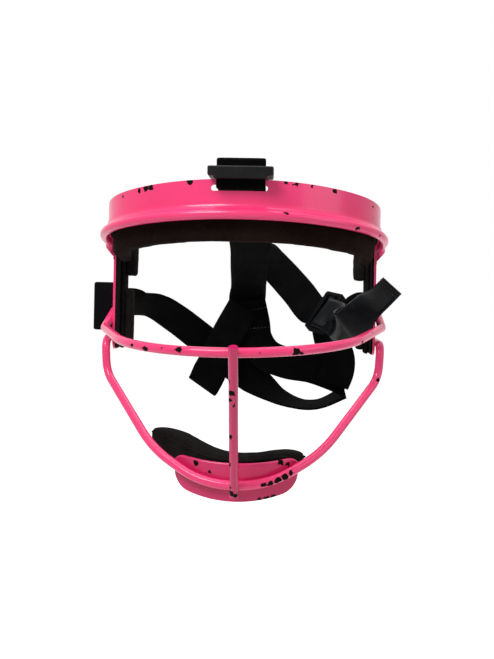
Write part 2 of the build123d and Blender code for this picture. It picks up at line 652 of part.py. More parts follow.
left_strap_shares = [
    (-0.965, 0.50, -0.225, 0.40, 0.00, 0.90),
    (-0.95, 0.60, -0.225, 0.76, 0.00, 0.65),
    (-0.81, 0.78, -0.245, 0.66, -0.35, 0.62),
    (-0.65, 0.90, -0.345, 0.62, -0.25, 0.70),
    (-0.44, 1.01, -0.50, 0.72, -0.12, 0.66),
    (-0.18, 1.06, -0.69, 0.80, 0.00, 0.56),
    (0.06, 1.04, -0.84, 0.82, 0.25, 0.40),
    (0.26, 0.96, -0.95, 0.60, 0.75, 0.20),
    (0.47, 0.86, -1.00, 0.20, 0.97, 0.12),
    (0.65, 0.80, -0.985, 0.05, 0.97, 0.12),
    (0.82, 0.775, -0.93, -0.10, 0.97, 0.15),
]
with BuildPart() as left_strap:
    with BuildSketch(side_plane):
        with BuildLine():
            FilletPolyline(
                (-webbing_inner, anchor_end),
                (-webbing_inner, slot_y),
                (-webbing_outer, slot_y),
                radius=WEBBING_BEND,
            )
        trace(line_width=WEBBING)
    extrude(amount=SIDE_STRAP_WIDTH / 2, both=True)
    left_start = Vector(-webbing_inner, anchor_end, -SIDE_SLOT_DROP)
    add(ribbon(left_start, Vector(0, 1, 0), Vector(0, 0, 1), left_strap_shares, SIDE_STRAP_WIDTH))
left_strap.part.label = "left_side_strap"
export_step(left_strap.part, "parts/left_side_strap.step")

right_strap_shares = [
    (0.93, 0.44, -0.245, 0.05, 0.00, 1.00),
    (0.789, 0.515, -0.281, 0.50, 0.35, 0.76),
    (0.742, 0.557, -0.2726, 0.50, 0.35, 0.76),
    (0.602, 0.683, -0.2474, 0.50, 0.35, 0.76),
    (0.5555, 0.725, -0.239, 0.50, 0.35, 0.76),
    (0.45, 0.825, -0.12, 0.72, 0.02, 0.68),
    (0.33, 0.91, 0.00, 0.76, -0.02, 0.65),
    (0.20, 0.99, 0.11, 0.70, 0.20, 0.64),
    (0.13, 1.04, 0.15, 0.62, 0.65, 0.35),
    (0.08, 1.075, 0.14, 0.56, 0.80, 0.05),
    (0.05, 1.085, 0.08, 0.70, 0.65, -0.05),
    (0.03, 1.08, -0.04, 0.90, 0.30, -0.15),
    (0.00, 1.07, -0.22, 0.95, 0.00, -0.25),
    (-0.09, 1.02, -0.48, 0.84, 0.00, -0.50),
    (-0.20, 0.965, -0.62, 0.82, 0.00, -0.56),
    (-0.30, 0.91, -0.76, 0.82, 0.00, -0.56),
    (-0.37, 0.87, -0.855, 0.82, 0.00, -0.56),
    (-0.39, 0.84, -0.88, 0.82, 0.00, -0.56),
    (-0.37, 0.809, -0.855, 0.82, 0.00, -0.56),
    (-0.34, 0.83, -0.775, 0.84, 0.00, -0.52),
    (-0.285, 0.87, -0.64, 0.84, 0.00, -0.52),
    (-0.175, 0.90, -0.465, 0.86, 0.00, -0.50),
    (-0.04, 0.93, -0.24, 0.90, 0.00, -0.44),
]
with BuildPart() as right_strap:
    with BuildSketch(side_plane):
        with BuildLine():
            FilletPolyline(
                (webbing_inner, anchor_end),
                (webbing_inner, slot_y),
                (webbing_outer, slot_y),
                (webbing_outer, PLATE_REAR + WEBBING),
                (webbing_inner + WEBBING, PLATE_REAR + 3 * WEBBING),
                (webbing_inner + WEBBING, PLATE_REAR + 5 * WEBBING),
                radius=WEBBING_BEND,
            )
        trace(line_width=WEBBING)
    extrude(amount=SIDE_STRAP_WIDTH / 2, both=True)
    right_start = Vector(webbing_inner, anchor_end, -SIDE_SLOT_DROP)
    add(ribbon(right_start, Vector(0, 1, 0), Vector(0, 0, 1), right_strap_shares, SIDE_STRAP_WIDTH))
right_strap.part.label = "right_side_strap"
export_step(right_strap.part, "parts/right_side_strap.step")

yoke_shares = [
    (0.055, 0.955, -0.37, 0.96, 0.00, 0.28),
    (0.08, 0.95, -0.50, 0.94, 0.05, 0.32),
    (0.175, 0.93, -0.62, 0.89, 0.07, 0.45),
    (0.36, 0.88, -0.68, 0.68, 0.14, 0.72),
    (0.59, 0.83, -0.685, 0.58, 0.20, 0.79),
    (0.91, 0.77, -0.77, 0.42, 0.26, 0.87),
]
with BuildPart() as yoke_strap:
    yoke_start = Vector(TOP_STRAP_SHIFT, YOKE_START_SHARE * HARNESS_REACH, -YOKE_DROP_SHARE * HARNESS_DROP)
    add(ribbon(yoke_start, Vector(0, 0, -1), Vector(1, 0, 0), yoke_shares, SIDE_STRAP_WIDTH))
yoke_strap.part.label = "yoke_strap"
export_step(yoke_strap.part, "parts/yoke_strap.step")

tail_shares = [
    (0.725, 0.455, -0.285, 0.50, 0.20, 0.82),
    (0.73, 0.28, -0.345, 0.00, 0.20, 0.97),
    (0.755, 0.12, -0.345, -0.45, 0.20, 0.85),
    (0.795, 0.00, -0.325, -0.66, 0.42, 0.60),
    (0.93, -0.085, -0.185, -0.52, 0.76, 0.40),
    (1.02, -0.105, -0.11, -0.45, 0.84, 0.32),
    (1.095, -0.115, -0.035, -0.43, 0.86, 0.29),
]
with BuildPart() as strap_tail:
    tail_start = Vector(
        TAIL_SHARE[0] * BAND_HALF_WIDTH, TAIL_SHARE[1] * HARNESS_REACH, -TAIL_SHARE[2] * HARNESS_DROP
    )
    add(ribbon(tail_start, Vector(0.70, -0.70, -0.14), Vector(0.50, 0.35, 0.76), tail_shares, SIDE_STRAP_WIDTH))
strap_tail.part.label = "right_strap_tail"
export_step(strap_tail.part, "parts/right_strap_tail.step")


# Sliders
def slider(width, height):
    """Buckle at the origin: webbing runs along Y between two outer bars and a centre bar."""
    outer = width + 2 * (SLIDER_CLEARANCE + SLIDER_WALL)
    bar_lift = (WEBBING + SLIDER_BAR_HEIGHT) / 2 + SOFT_GAP
    with BuildPart() as buckle:
        with BuildSketch():
            RectangleRounded(outer, SLIDER_LENGTH, SLIDER_WALL / 2)
            Rectangle(outer - 2 * SLIDER_WALL, SLIDER_LENGTH, mode=Mode.SUBTRACT)
        extrude(amount=height / 2, both=True)
        with Locations((0, 0, bar_lift)):
            with GridLocations(0, SLIDER_LENGTH - SLIDER_BAR, 1, 2):
                Box(outer - SLIDER_WALL, SLIDER_BAR, SLIDER_BAR_HEIGHT)
        with Locations((0, 0, -bar_lift)):
            Box(outer - SLIDER_WALL, SLIDER_BAR, SLIDER_BAR_HEIGHT)
    return buckle.part


side_height = 2 * (WEBBING / 2 + SOFT_GAP + SLIDER_BAR_HEIGHT)
side_slider = slider(SIDE_STRAP_WIDTH, side_height)
flap_root = webbing_outer + FLAP_GAP
flap_length = SLIDER_LENGTH - SLIDER_BAR / 2

with BuildPart() as left_end:
    with Locations((-flap_root - flap_length / 2, slot_y, -SIDE_SLOT_DROP)):
        Box(flap_length, WEBBING, SIDE_STRAP_WIDTH)
left_end.part.label = "left_strap_end"
export_step(left_end.part, "parts/left_strap_end.step")

with BuildPart() as left_slider:
    left_place = Plane(
        (-flap_root - SLIDER_LENGTH / 2, slot_y, -SIDE_SLOT_DROP), x_dir=(0, 0, 1), z_dir=(0, -1, 0)
    )
    add(left_place.location * side_slider)
    cover = SIDE_STRAP_WIDTH + 2 * SLIDER_CLEARANCE + SLIDER_WALL
    with BuildSketch(left_place.offset(side_height / 2 - SLIDER_BAR_HEIGHT)):
        Rectangle(cover, SLIDER_LENGTH - SLIDER_WALL)
    extrude(amount=SLIDER_BAR_HEIGHT)
left_slider.part.label = "left_slider"
export_step(left_slider.part, "parts/left_slider.step")

slider_from = Vector(*right_strap_shares[2][:3])
slider_to = Vector(*right_strap_shares[3][:3])
harness = Vector(BAND_HALF_WIDTH, HARNESS_REACH, HARNESS_DROP)
run_start, run_end = (
    Vector(share.X * harness.X, share.Y * harness.Y, share.Z * harness.Z)
    for share in (slider_from, slider_to)
)
with BuildPart() as right_slider:
    along = (run_end - run_start).normalized()
    across = Vector(*right_strap_shares[2][3:])
    across = (across - along * across.dot(along)).normalized()
    right_place = Plane((run_start + run_end) / 2, x_dir=across, z_dir=across.cross(along))
    add(right_place.location * side_slider)
right_slider.part.label = "right_slider"
export_step(right_slider.part, "parts/right_slider.step")

# Top slider: lies on the band's top edge, its deep front bar hanging before the strap
slider_front = strap_outside - WEBBING / 2 - SLIDER_CLEARANCE - FRONT_BAR_LENGTH
slider_rear = rear_lay + WEBBING / 2 + SLIDER_CLEARANCE + SLIDER_BAR
slider_middle = (slider_front + slider_rear) / 2
with BuildPart() as top_slider:
    with BuildSketch(Plane.XY.offset(TOP_SLIDER_TOP)):
        with Locations((TOP_STRAP_SHIFT, slider_middle)):
            RectangleRounded(TOP_SLIDER_WIDTH, slider_rear - slider_front, SLIDER_WALL / 2)
        window = TOP_STRAP_WIDTH + 2 * SLIDER_CLEARANCE
        for start, end in (
            (slider_front + FRONT_BAR_LENGTH, centre_bar - SLIDER_BAR / 2),
            (centre_bar + SLIDER_BAR / 2, slider_rear - SLIDER_BAR),
        ):
            with Locations((TOP_STRAP_SHIFT, (start + end) / 2)):
                Rectangle(window, end - start, mode=Mode.SUBTRACT)
    extrude(amount=-TOP_SLIDER_HEIGHT)
    front_middle = slider_front + FRONT_BAR_LENGTH / 2
    with Locations((TOP_STRAP_SHIFT, front_middle, TOP_SLIDER_TOP - FRONT_BAR_HEIGHT / 2)):
        Box(window, FRONT_BAR_LENGTH, FRONT_BAR_HEIGHT)
top_slider.part.label = "top_slider"
export_step(top_slider.part, "parts/top_slider.step")
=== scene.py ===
"""Looks of the softball fielder's face guard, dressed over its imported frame.

Sizes are written in millimetres, as in the part's source, and made metres where a mesh is built.
"""

import logging
import math
from dataclasses import dataclass, replace
from enum import Enum

import bmesh
import bpy
from mathutils import Matrix, Vector, noise


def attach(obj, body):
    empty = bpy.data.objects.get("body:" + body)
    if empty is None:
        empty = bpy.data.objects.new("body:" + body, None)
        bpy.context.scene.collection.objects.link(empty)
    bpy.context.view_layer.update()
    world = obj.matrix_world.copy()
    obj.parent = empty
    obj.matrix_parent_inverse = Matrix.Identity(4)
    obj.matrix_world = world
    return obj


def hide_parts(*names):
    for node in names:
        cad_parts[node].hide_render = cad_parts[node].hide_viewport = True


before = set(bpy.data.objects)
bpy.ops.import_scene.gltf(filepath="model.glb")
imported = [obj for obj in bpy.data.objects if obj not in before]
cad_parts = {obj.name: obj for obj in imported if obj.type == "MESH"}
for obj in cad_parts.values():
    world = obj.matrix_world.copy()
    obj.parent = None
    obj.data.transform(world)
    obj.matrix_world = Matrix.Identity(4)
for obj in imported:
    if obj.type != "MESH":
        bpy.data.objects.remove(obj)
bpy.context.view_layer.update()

LOG = logging.getLogger("face_guard")
MM = 0.001
WHITE = (1.0, 1.0, 1.0, 1.0)

# Turns in radians under this count as straight, vertices this near in metres are one, and faces
# within this angle in degrees are joined

LEAST_TURN = 1e-4
MERGE_DISTANCE = 1e-6
FLAT_ANGLE = 0.5

# The two last rings of a rod's eased end: how far in and how wide, as shares of its radius

EASED_END = ((0.0, 0.86), (0.12, 0.96))


# Shared making: meshes, node trees and routes


class Side(Enum):
    """Left and right as the picture shows them."""

    LEFT = -1
    RIGHT = 1

    @property
    def word(self) -> str:
        """Lower-case name used in the names of nodes and pieces."""
        return self.name.lower()


def mesh_object(name: str, points: list, faces: list, uvs: list | None = None) -> bpy.types.Object:
    """Makes a smooth mesh object with outward normals.

    Args:
        name: the piece's name.
        points: vertices in millimetres.
        faces: tuples of vertex numbers.
        uvs: one (u, v) for each vertex of each face, in face order, or None.

    Returns:
        The linked object, its place in its mesh.
    """
    mesh = bpy.data.meshes.new(name)
    mesh.from_pydata([Vector(p) * MM for p in points], [], faces)
    if uvs:
        layer = mesh.uv_layers.new(name="UVMap")
        for loop, uv in zip(layer.data, uvs):
            loop.uv = uv
    work = bmesh.new()
    work.from_mesh(mesh)
    bmesh.ops.recalc_face_normals(work, faces=work.faces)
    work.to_mesh(mesh)
    work.free()
    mesh.shade_smooth()
    made = bpy.data.objects.new(name, mesh)
    bpy.context.scene.collection.objects.link(made)
    return made


def tube_of_rings(name: str, rings: list, runs: list | None = None) -> bpy.types.Object:
    """Skins closed rings of equal length, one after another, and closes both ends.

    Args:
        name: the piece's name.
        rings: lists of points in millimetres.
        runs: distance of each ring along the piece, which gives it a UV map, or None.

    Returns:
        The piece.
    """
    count = len(rings[0])
    points = [p for ring in rings for p in ring]
    around = [0.0]
    for k in range(count):
        around.append(around[-1] + (Vector(rings[0][k]) - Vector(rings[0][(k + 1) % count])).length)
    faces, uvs = [], []
    for i in range(len(rings) - 1):
        for k in range(count):
            after = (k + 1) % count
            faces.append((i * count + k, i * count + after, (i + 1) * count + after, (i + 1) * count + k))
            if runs:
                low, high = runs[i] * MM, runs[i + 1] * MM
                left, right = around[k] * MM, around[k + 1] * MM
                uvs += [(left, low), (right, low), (right, high), (left, high)]
    for start, flip in ((0, True), ((len(rings) - 1) * count, False)):
        cap = [start + k for k in range(count)]
        faces.append(tuple(reversed(cap)) if flip else tuple(cap))
        if runs:
            uvs += [(around[k] * MM, 0.0) for k in range(count)]
    return mesh_object(name, points, faces, uvs if runs else None)


def rounded_route(corners: list, radii: list, step: float = 1.5) -> list:
    """Runs through corners, each rounded to its bend radius, as a bent rod goes.

    Args:
        corners: points in millimetres.
        radii: centre-line radius at each inner corner.
        step: greatest distance between points on a bend.

    Returns:
        Points along the route.
    """
    route = [Vector(corners[0])]
    for i in range(1, len(corners) - 1):
        before, corner, after = (Vector(corners[k]) for k in (i - 1, i, i + 1))
        back, ahead = (before - corner).normalized(), (after - corner).normalized()
        turn = math.pi - back.angle(ahead)
        if turn < LEAST_TURN:
            route.append(corner)
            continue
        reach = radii[i - 1] * math.tan(turn / 2)
        start = corner + back * reach
        inwards = (back + ahead).normalized()
        middle = corner + inwards * (radii[i - 1] / math.cos(turn / 2))
        spoke, pole = start - middle, (-back).cross(ahead).normalized()
        steps = max(3, int(radii[i - 1] * turn / step))
        for k in range(steps + 1):
            route.append(middle + Matrix.Rotation(turn * k / steps, 3, pole) @ spoke)
    route.append(Vector(corners[-1]))
    return route


def even_route(route: list, step: float) -> list:
    """Points at even distances along a route, its ends kept."""
    lengths = [0.0]
    for a, b in zip(route, route[1:]):
        lengths.append(lengths[-1] + (b - a).length)
    count = max(2, round(lengths[-1] / step))
    evened, i = [], 0
    for k in range(count + 1):
        at = lengths[-1] * k / count
        while i < len(route) - 2 and lengths[i + 1] < at:
            i += 1
        span = max(lengths[i + 1] - lengths[i], 1e-9)
        evened.append(route[i].lerp(route[i + 1], min(1.0, (at - lengths[i]) / span)))
    return evened


def rod_object(name: str, route: list, radius: float, sides: int = 28) -> bpy.types.Object:
    """Makes a round rod along a route, its cut ends slightly eased.

    Args:
        name: the piece's name.
        route: points in millimetres.
        radius: the rod's radius.
        sides: faces round it.

    Returns:
        The rod.
    """
    rings, normal = [], None
    for i, point in enumerate(route):
        run = (route[min(i + 1, len(route) - 1)] - route[max(i - 1, 0)]).normalized()
        if normal is None:
            normal = run.orthogonal().normalized()
        normal = (normal - run * normal.dot(run)).normalized()
        side = run.cross(normal)
        ends = ((0.0, 1.0),)
        if i == 0:
            ends = EASED_END
        elif i == len(route) - 1:
            ends = [(-shift, share) for shift, share in reversed(EASED_END)]
        for shift, share in ends:
            ring = []
            for k in range(sides):
                turn = 2 * math.pi * k / sides
                spoke = normal * math.cos(turn) + side * math.sin(turn)
                ring.append(point + run * shift * radius + spoke * radius * share)
            rings.append(ring)
    return tube_of_rings(name, rings)


def merged_copy(node: str, name: str, sharp: float = 32.0, bevel: float = 0.0) -> bpy.types.Object:
    """Copies a CAD node as one closed, smooth mesh and lets the copy stand for it.

    Args:
        node: the CAD node.
        name: the piece's name.
        sharp: angle in degrees over which an edge stays crisp.
        bevel: width in millimetres of the round put on crisp edges.

    Returns:
        The piece that replaces the node.
    """
    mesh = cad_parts[node].data.copy()
    mesh.name = name
    mesh.materials.clear()
    work = bmesh.new()
    work.from_mesh(mesh)
    bmesh.ops.remove_doubles(work, verts=work.verts, dist=MERGE_DISTANCE)
    bmesh.ops.dissolve_limit(
        work, angle_limit=math.radians(FLAT_ANGLE), verts=work.verts, edges=work.edges
    )
    bmesh.ops.recalc_face_normals(work, faces=work.faces)
    for edge in work.edges:
        if len(edge.link_faces) == 2:
            edge.smooth = edge.calc_face_angle(0.0) < math.radians(sharp)
    work.to_mesh(mesh)
    work.free()
    for polygon in mesh.polygons:
        polygon.use_smooth = True
    made = bpy.data.objects.new(name, mesh)
    bpy.context.scene.collection.objects.link(made)
    if bevel:
        rounder = made.modifiers.new("Eased edges", "BEVEL")
        rounder.width = bevel * MM
        rounder.segments = 3
        rounder.limit_method = "ANGLE"
        rounder.angle_limit = math.radians(sharp)
        rounder.harden_normals = True
        bake(made)
    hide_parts(node)
    return made


def bake(piece: bpy.types.Object) -> None:
    """Applies a piece's modifiers by taking its evaluated mesh."""
    graph = bpy.context.evaluated_depsgraph_get()
    mesh = bpy.data.meshes.new_from_object(piece.evaluated_get(graph))
    piece.modifiers.clear()
    piece.data = mesh


class Tree:
    """A shader tree under construction, with short calls for its nodes."""

    def __init__(self, name: str) -> None:
        """Starts a material whose output takes one principled shader."""
        self.material = bpy.data.materials.new(name)
        self.material.use_nodes = True
        self.nodes = self.material.node_tree.nodes
        self.links = self.material.node_tree.links
        self.shader = self.nodes["Principled BSDF"]

    def add(self, kind: str, **settings: object) -> bpy.types.Node:
        """Adds a node and sets its properties.

        Args:
            kind: the node's type name.
            settings: properties by name.

        Returns:
            The node.
        """
        node = self.nodes.new(kind)
        for key, value in settings.items():
            setattr(node, key, value)
        return node

    def link(self, source: object, target: object) -> None:
        """Links a socket, or sets the target to a plain value."""
        if isinstance(source, bpy.types.NodeSocket):
            self.links.new(source, target)
        else:
            target.default_value = source

    def math(self, operation: str, a: object, b: object = 0.0, c: object = 0.0) -> bpy.types.NodeSocket:
        """Adds a Math node on sockets or numbers and returns its result."""
        node = self.add("ShaderNodeMath", operation=operation)
        for socket, value in zip(node.inputs, (a, b, c)):
            self.link(value, socket)
        return node.outputs[0]

    def noise(self, vector: object, scale: float, detail: float = 3.0) -> bpy.types.NodeSocket:
        """Adds a Noise texture and returns its value."""
        node = self.add("ShaderNodeTexNoise")
        self.link(vector, node.inputs["Vector"])
        node.inputs["Scale"].default_value = scale
        node.inputs["Detail"].default_value = detail
        return node.outputs["Fac"]

    def ramp(self, value: object, low: float, high: float) -> bpy.types.NodeSocket:
        """Maps a value smoothly from low..high to 0..1."""
        node = self.add("ShaderNodeMapRange", interpolation_type="SMOOTHSTEP")
        self.link(value, node.inputs["Value"])
        node.inputs["From Min"].default_value = low
        node.inputs["From Max"].default_value = high
        return node.outputs["Result"]

    def mix(self, share: object, first: tuple, second: object) -> bpy.types.NodeSocket:
        """Mixes two colours, each a tuple or a socket."""
        node = self.add("ShaderNodeMix", data_type="RGBA")
        self.link(share, node.inputs["Factor"])
        for socket, colour in ((node.inputs[6], first), (node.inputs[7], second)):
            self.link(colour if isinstance(colour, bpy.types.NodeSocket) else (*colour, 1.0), socket)
        return node.outputs[2]

    def bump(self, height: object, depth: float, strength: float = 1.0) -> None:
        """Sends a height to the shader's normal, its depth in millimetres."""
        node = self.add("ShaderNodeBump")
        self.link(height, node.inputs["Height"])
        node.inputs["Distance"].default_value = depth * MM
        node.inputs["Strength"].default_value = strength
        self.links.new(node.outputs["Normal"], self.shader.inputs["Normal"])


# Finishes


@dataclass(frozen=True)
class PinkPaint:
    """Gloss powder paint with chips knocked through to dark steel.

    Each chip is (x, y, z, radius) in millimetres, ``ragged`` is how far its edge wanders, ``specks``
    is the noise value under which a speck shows, and ``depth`` is the paint's thickness.
    """

    name: str
    chips: tuple = ()
    colour: tuple = (0.90, 0.045, 0.19)
    deep: tuple = (0.76, 0.025, 0.13)
    bare: tuple = (0.006, 0.004, 0.004)
    uneven: float = 0.35
    gloss: float = 0.20
    smear: float = 0.04
    bare_gloss: float = 0.35
    coat: float = 0.08
    shine: float = 0.30
    bare_shine: float = 0.03
    ragged: float = 4.2
    specks: float = 0.25
    peel: float = 0.06
    depth: float = 0.14

    def make(self) -> bpy.types.Material:
        """Builds the material on Object coordinates."""
        tree = Tree(self.name)
        place = tree.add("ShaderNodeTexCoord").outputs["Object"]
        bare = self.chipped(tree, place)
        shade = tree.ramp(tree.noise(place, 24.0, 2.0), 0.3, 0.8)
        paint = tree.mix(tree.math("MULTIPLY", shade, self.uneven), self.colour, self.deep)
        tree.link(tree.mix(bare, paint, self.bare), tree.shader.inputs["Base Color"])
        smeared = tree.ramp(tree.noise(place, 60.0, 3.0), 0.35, 0.75)
        rough = tree.math("MULTIPLY_ADD", smeared, self.smear, self.gloss)
        rough = tree.math("MULTIPLY_ADD", bare, self.bare_gloss, rough)
        tree.link(rough, tree.shader.inputs["Roughness"])
        peel = tree.math("MULTIPLY", tree.noise(place, 520.0, 2.0), self.peel)
        tree.bump(tree.math("SUBTRACT", peel, bare), self.depth)
        whole = tree.math("SUBTRACT", 1.0, bare)
        tree.link(tree.math("MULTIPLY", whole, self.coat), tree.shader.inputs["Coat Weight"])
        shine = tree.math("MULTIPLY_ADD", whole, self.shine, self.bare_shine)
        tree.link(shine, tree.shader.inputs["Specular IOR Level"])
        tree.shader.inputs["Coat Roughness"].default_value = 0.12
        return tree.material

    def chipped(self, tree: Tree, place: bpy.types.NodeSocket) -> bpy.types.NodeSocket:
        """Adds a mask that is 1 in the chips and the small specks.

        Args:
            tree: the material's tree.
            place: its Object coordinates.

        Returns:
            The mask's socket.
        """
        wander = tree.add("ShaderNodeTexNoise")
        tree.link(place, wander.inputs["Vector"])
        wander.inputs["Scale"].default_value = 420.0
        wander.inputs["Detail"].default_value = 4.0
        shake = tree.add("ShaderNodeVectorMath", operation="MULTIPLY_ADD")
        tree.link(wander.outputs["Color"], shake.inputs[0])
        shake.inputs[1].default_value = (self.ragged * MM,) * 3
        shake.inputs[2].default_value = (-self.ragged * MM / 2,) * 3
        moved = tree.add("ShaderNodeVectorMath", operation="ADD")
        tree.link(place, moved.inputs[0])
        tree.link(shake.outputs[0], moved.inputs[1])
        bare = tree.math("LESS_THAN", tree.noise(place, 310.0, 5.0), self.specks)
        for x, y, z, radius in self.chips:
            near = tree.add("ShaderNodeVectorMath", operation="DISTANCE")
            tree.link(moved.outputs[0], near.inputs[0])
            near.inputs[1].default_value = (x * MM, y * MM, z * MM)
            spot = tree.math("LESS_THAN", near.outputs["Value"], radius * MM)
            bare = tree.math("MAXIMUM", bare, spot)
        return bare


@dataclass(frozen=True)
class Webbing:
    """Woven polyester webbing: ribs across the run, fine columns along it, worn slightly pale.

    ``rib``, ``column``, ``lean`` (how far the columns bend a rib) and ``depth`` are in millimetres.
    """

    name: str
    colour: tuple = (0.0012, 0.0012, 0.0015)
    worn: tuple = (0.0045, 0.0042, 0.0045)
    rib: float = 1.15
    column: float = 1.6
    lean: float = 0.22
    roughness: float = 0.82
    depth: float = 0.22
    shine: float = 0.03

    def make(self) -> bpy.types.Material:
        """Builds the material on the piece's own UV map, in which a unit is a metre."""
        tree = Tree(self.name)
        parts = tree.add("ShaderNodeSeparateXYZ")
        tree.link(tree.add("ShaderNodeTexCoord").outputs["UV"], parts.inputs[0])
        across, along = parts.outputs[0], parts.outputs[1]
        columns = tree.math("SINE", tree.math("MULTIPLY", across, 2 * math.pi / (self.column * MM)))
        bent = tree.math("MULTIPLY_ADD", columns, self.lean * MM, along)
        ribs = tree.math("SINE", tree.math("MULTIPLY", bent, 2 * math.pi / (self.rib * MM)))
        place = tree.add("ShaderNodeTexCoord").outputs["Object"]
        rubbed = tree.ramp(tree.noise(place, 70.0, 5.0), 0.42, 0.72)
        crest = tree.math("MULTIPLY", tree.ramp(ribs, 0.0, 1.0), rubbed)
        tree.link(tree.mix(crest, self.colour, self.worn), tree.shader.inputs["Base Color"])
        tree.shader.inputs["Roughness"].default_value = self.roughness
        tree.shader.inputs["Specular IOR Level"].default_value = self.shine
        fuzz = tree.math("MULTIPLY", tree.noise(place, 1500.0, 2.0), 0.6)
        woven = tree.math("MULTIPLY_ADD", ribs, 0.5, tree.math("MULTIPLY_ADD", columns, 0.25, fuzz))
        tree.bump(woven, self.depth)
        return tree.material


@dataclass(frozen=True)
class PadCover:
    """Knitted cover drawn over soft foam."""

    name: str
    colour: tuple = (0.0045, 0.0022, 0.0018)
    pale: tuple = (0.016, 0.009, 0.0075)
    roughness: float = 0.9
    shine: float = 0.04
    knit: float = 900.0
    creases: float = 1.4
    depth: float = 0.30

    def make(self) -> bpy.types.Material:
        """Builds the material on Object coordinates."""
        tree = Tree(self.name)
        place = tree.add("ShaderNodeTexCoord").outputs["Object"]
        cells = tree.add("ShaderNodeTexVoronoi", feature="F1")
        tree.link(place, cells.inputs["Vector"])
        cells.inputs["Scale"].default_value = self.knit
        worn = tree.ramp(tree.noise(place, 38.0, 4.0), 0.35, 0.75)
        knit = tree.math("MULTIPLY_ADD", cells.outputs["Distance"], 0.5, tree.math("MULTIPLY", worn, 0.6))
        tree.link(tree.mix(knit, self.colour, self.pale), tree.shader.inputs["Base Color"])
        tree.shader.inputs["Roughness"].default_value = self.roughness
        tree.shader.inputs["Specular IOR Level"].default_value = self.shine
        creases = tree.math("MULTIPLY", tree.noise(place, 120.0, 4.0), self.creases)
        tree.bump(tree.math("SUBTRACT", creases, cells.outputs["Distance"]), self.depth)
        return tree.material


@dataclass(frozen=True)
class BlackPlastic:
    """Moulded acetal with a fine grain and rubbed patches."""

    name: str
    colour: tuple = (0.0025, 0.0025, 0.003)
    rubbed: tuple = (0.008, 0.008, 0.009)
    roughness: float = 0.42
    patchy: float = 0.18
    shine: float = 0.14
    grain: float = 0.05

    def make(self) -> bpy.types.Material:
        """Builds the material on Object coordinates."""
        tree = Tree(self.name)
        place = tree.add("ShaderNodeTexCoord").outputs["Object"]
        patches = tree.ramp(tree.noise(place, 90.0, 5.0), 0.45, 0.75)
        tree.link(tree.mix(patches, self.colour, self.rubbed), tree.shader.inputs["Base Color"])
        rough = tree.math("MULTIPLY_ADD", patches, self.patchy, self.roughness)
        tree.link(rough, tree.shader.inputs["Roughness"])
        tree.shader.inputs["Specular IOR Level"].default_value = self.shine
        tree.bump(tree.noise(place, 2200.0, 2.0), self.grain)
        return tree.material


@dataclass(frozen=True)
class HookTape:
    """Black hook tape, a dense field of short bristles."""

    name: str
    colour: tuple = (0.006, 0.006, 0.006)
    roughness: float = 0.95
    shine: float = 0.10
    bristles: float = 1300.0
    depth: float = 0.25

    def make(self) -> bpy.types.Material:
        """Builds the material on Object coordinates."""
        tree = Tree(self.name)
        place = tree.add("ShaderNodeTexCoord").outputs["Object"]
        cells = tree.add("ShaderNodeTexVoronoi", feature="F1")
        tree.link(place, cells.inputs["Vector"])
        cells.inputs["Scale"].default_value = self.bristles
        tree.shader.inputs["Base Color"].default_value = (*self.colour, 1.0)
        tree.shader.inputs["Roughness"].default_value = self.roughness
        tree.shader.inputs["Specular IOR Level"].default_value = self.shine
        tree.bump(cells.outputs["Distance"], self.depth)
        return tree.material


# Metalwork


@dataclass
class Metalwork:
    """The painted steel: band and side plates, rods and chin plate, two of them in a pink lowered as painted
    shade.
    """

    # Painted shade: the nodes that get a lower pink, and that pink's colour and deep tone
    painted_shade_nodes: tuple = ("centre_rod", "chin_plate")
    dark: tuple = (0.60, 0.018, 0.12)
    painted_shade_deep: tuple = (0.50, 0.010, 0.085)

    def build(self) -> None:
        """Dresses every metal node."""
        for node, chips in PAINT_CHIPS.items():
            piece = merged_copy(node, node + "_painted")
            paint = PinkPaint("Pink paint, " + node, chips)
            # Painted shade: these nodes take the lowered pink in place of the paint's own colour
            if node in self.painted_shade_nodes:
                paint = replace(paint, colour=self.dark, deep=self.painted_shade_deep)
            piece.data.materials.append(paint.make())
            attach(piece, "guard")
            LOG.info("painted %s", node)


# The painted nodes, and where the paint is knocked off each: x, y, z and radius in millimetres

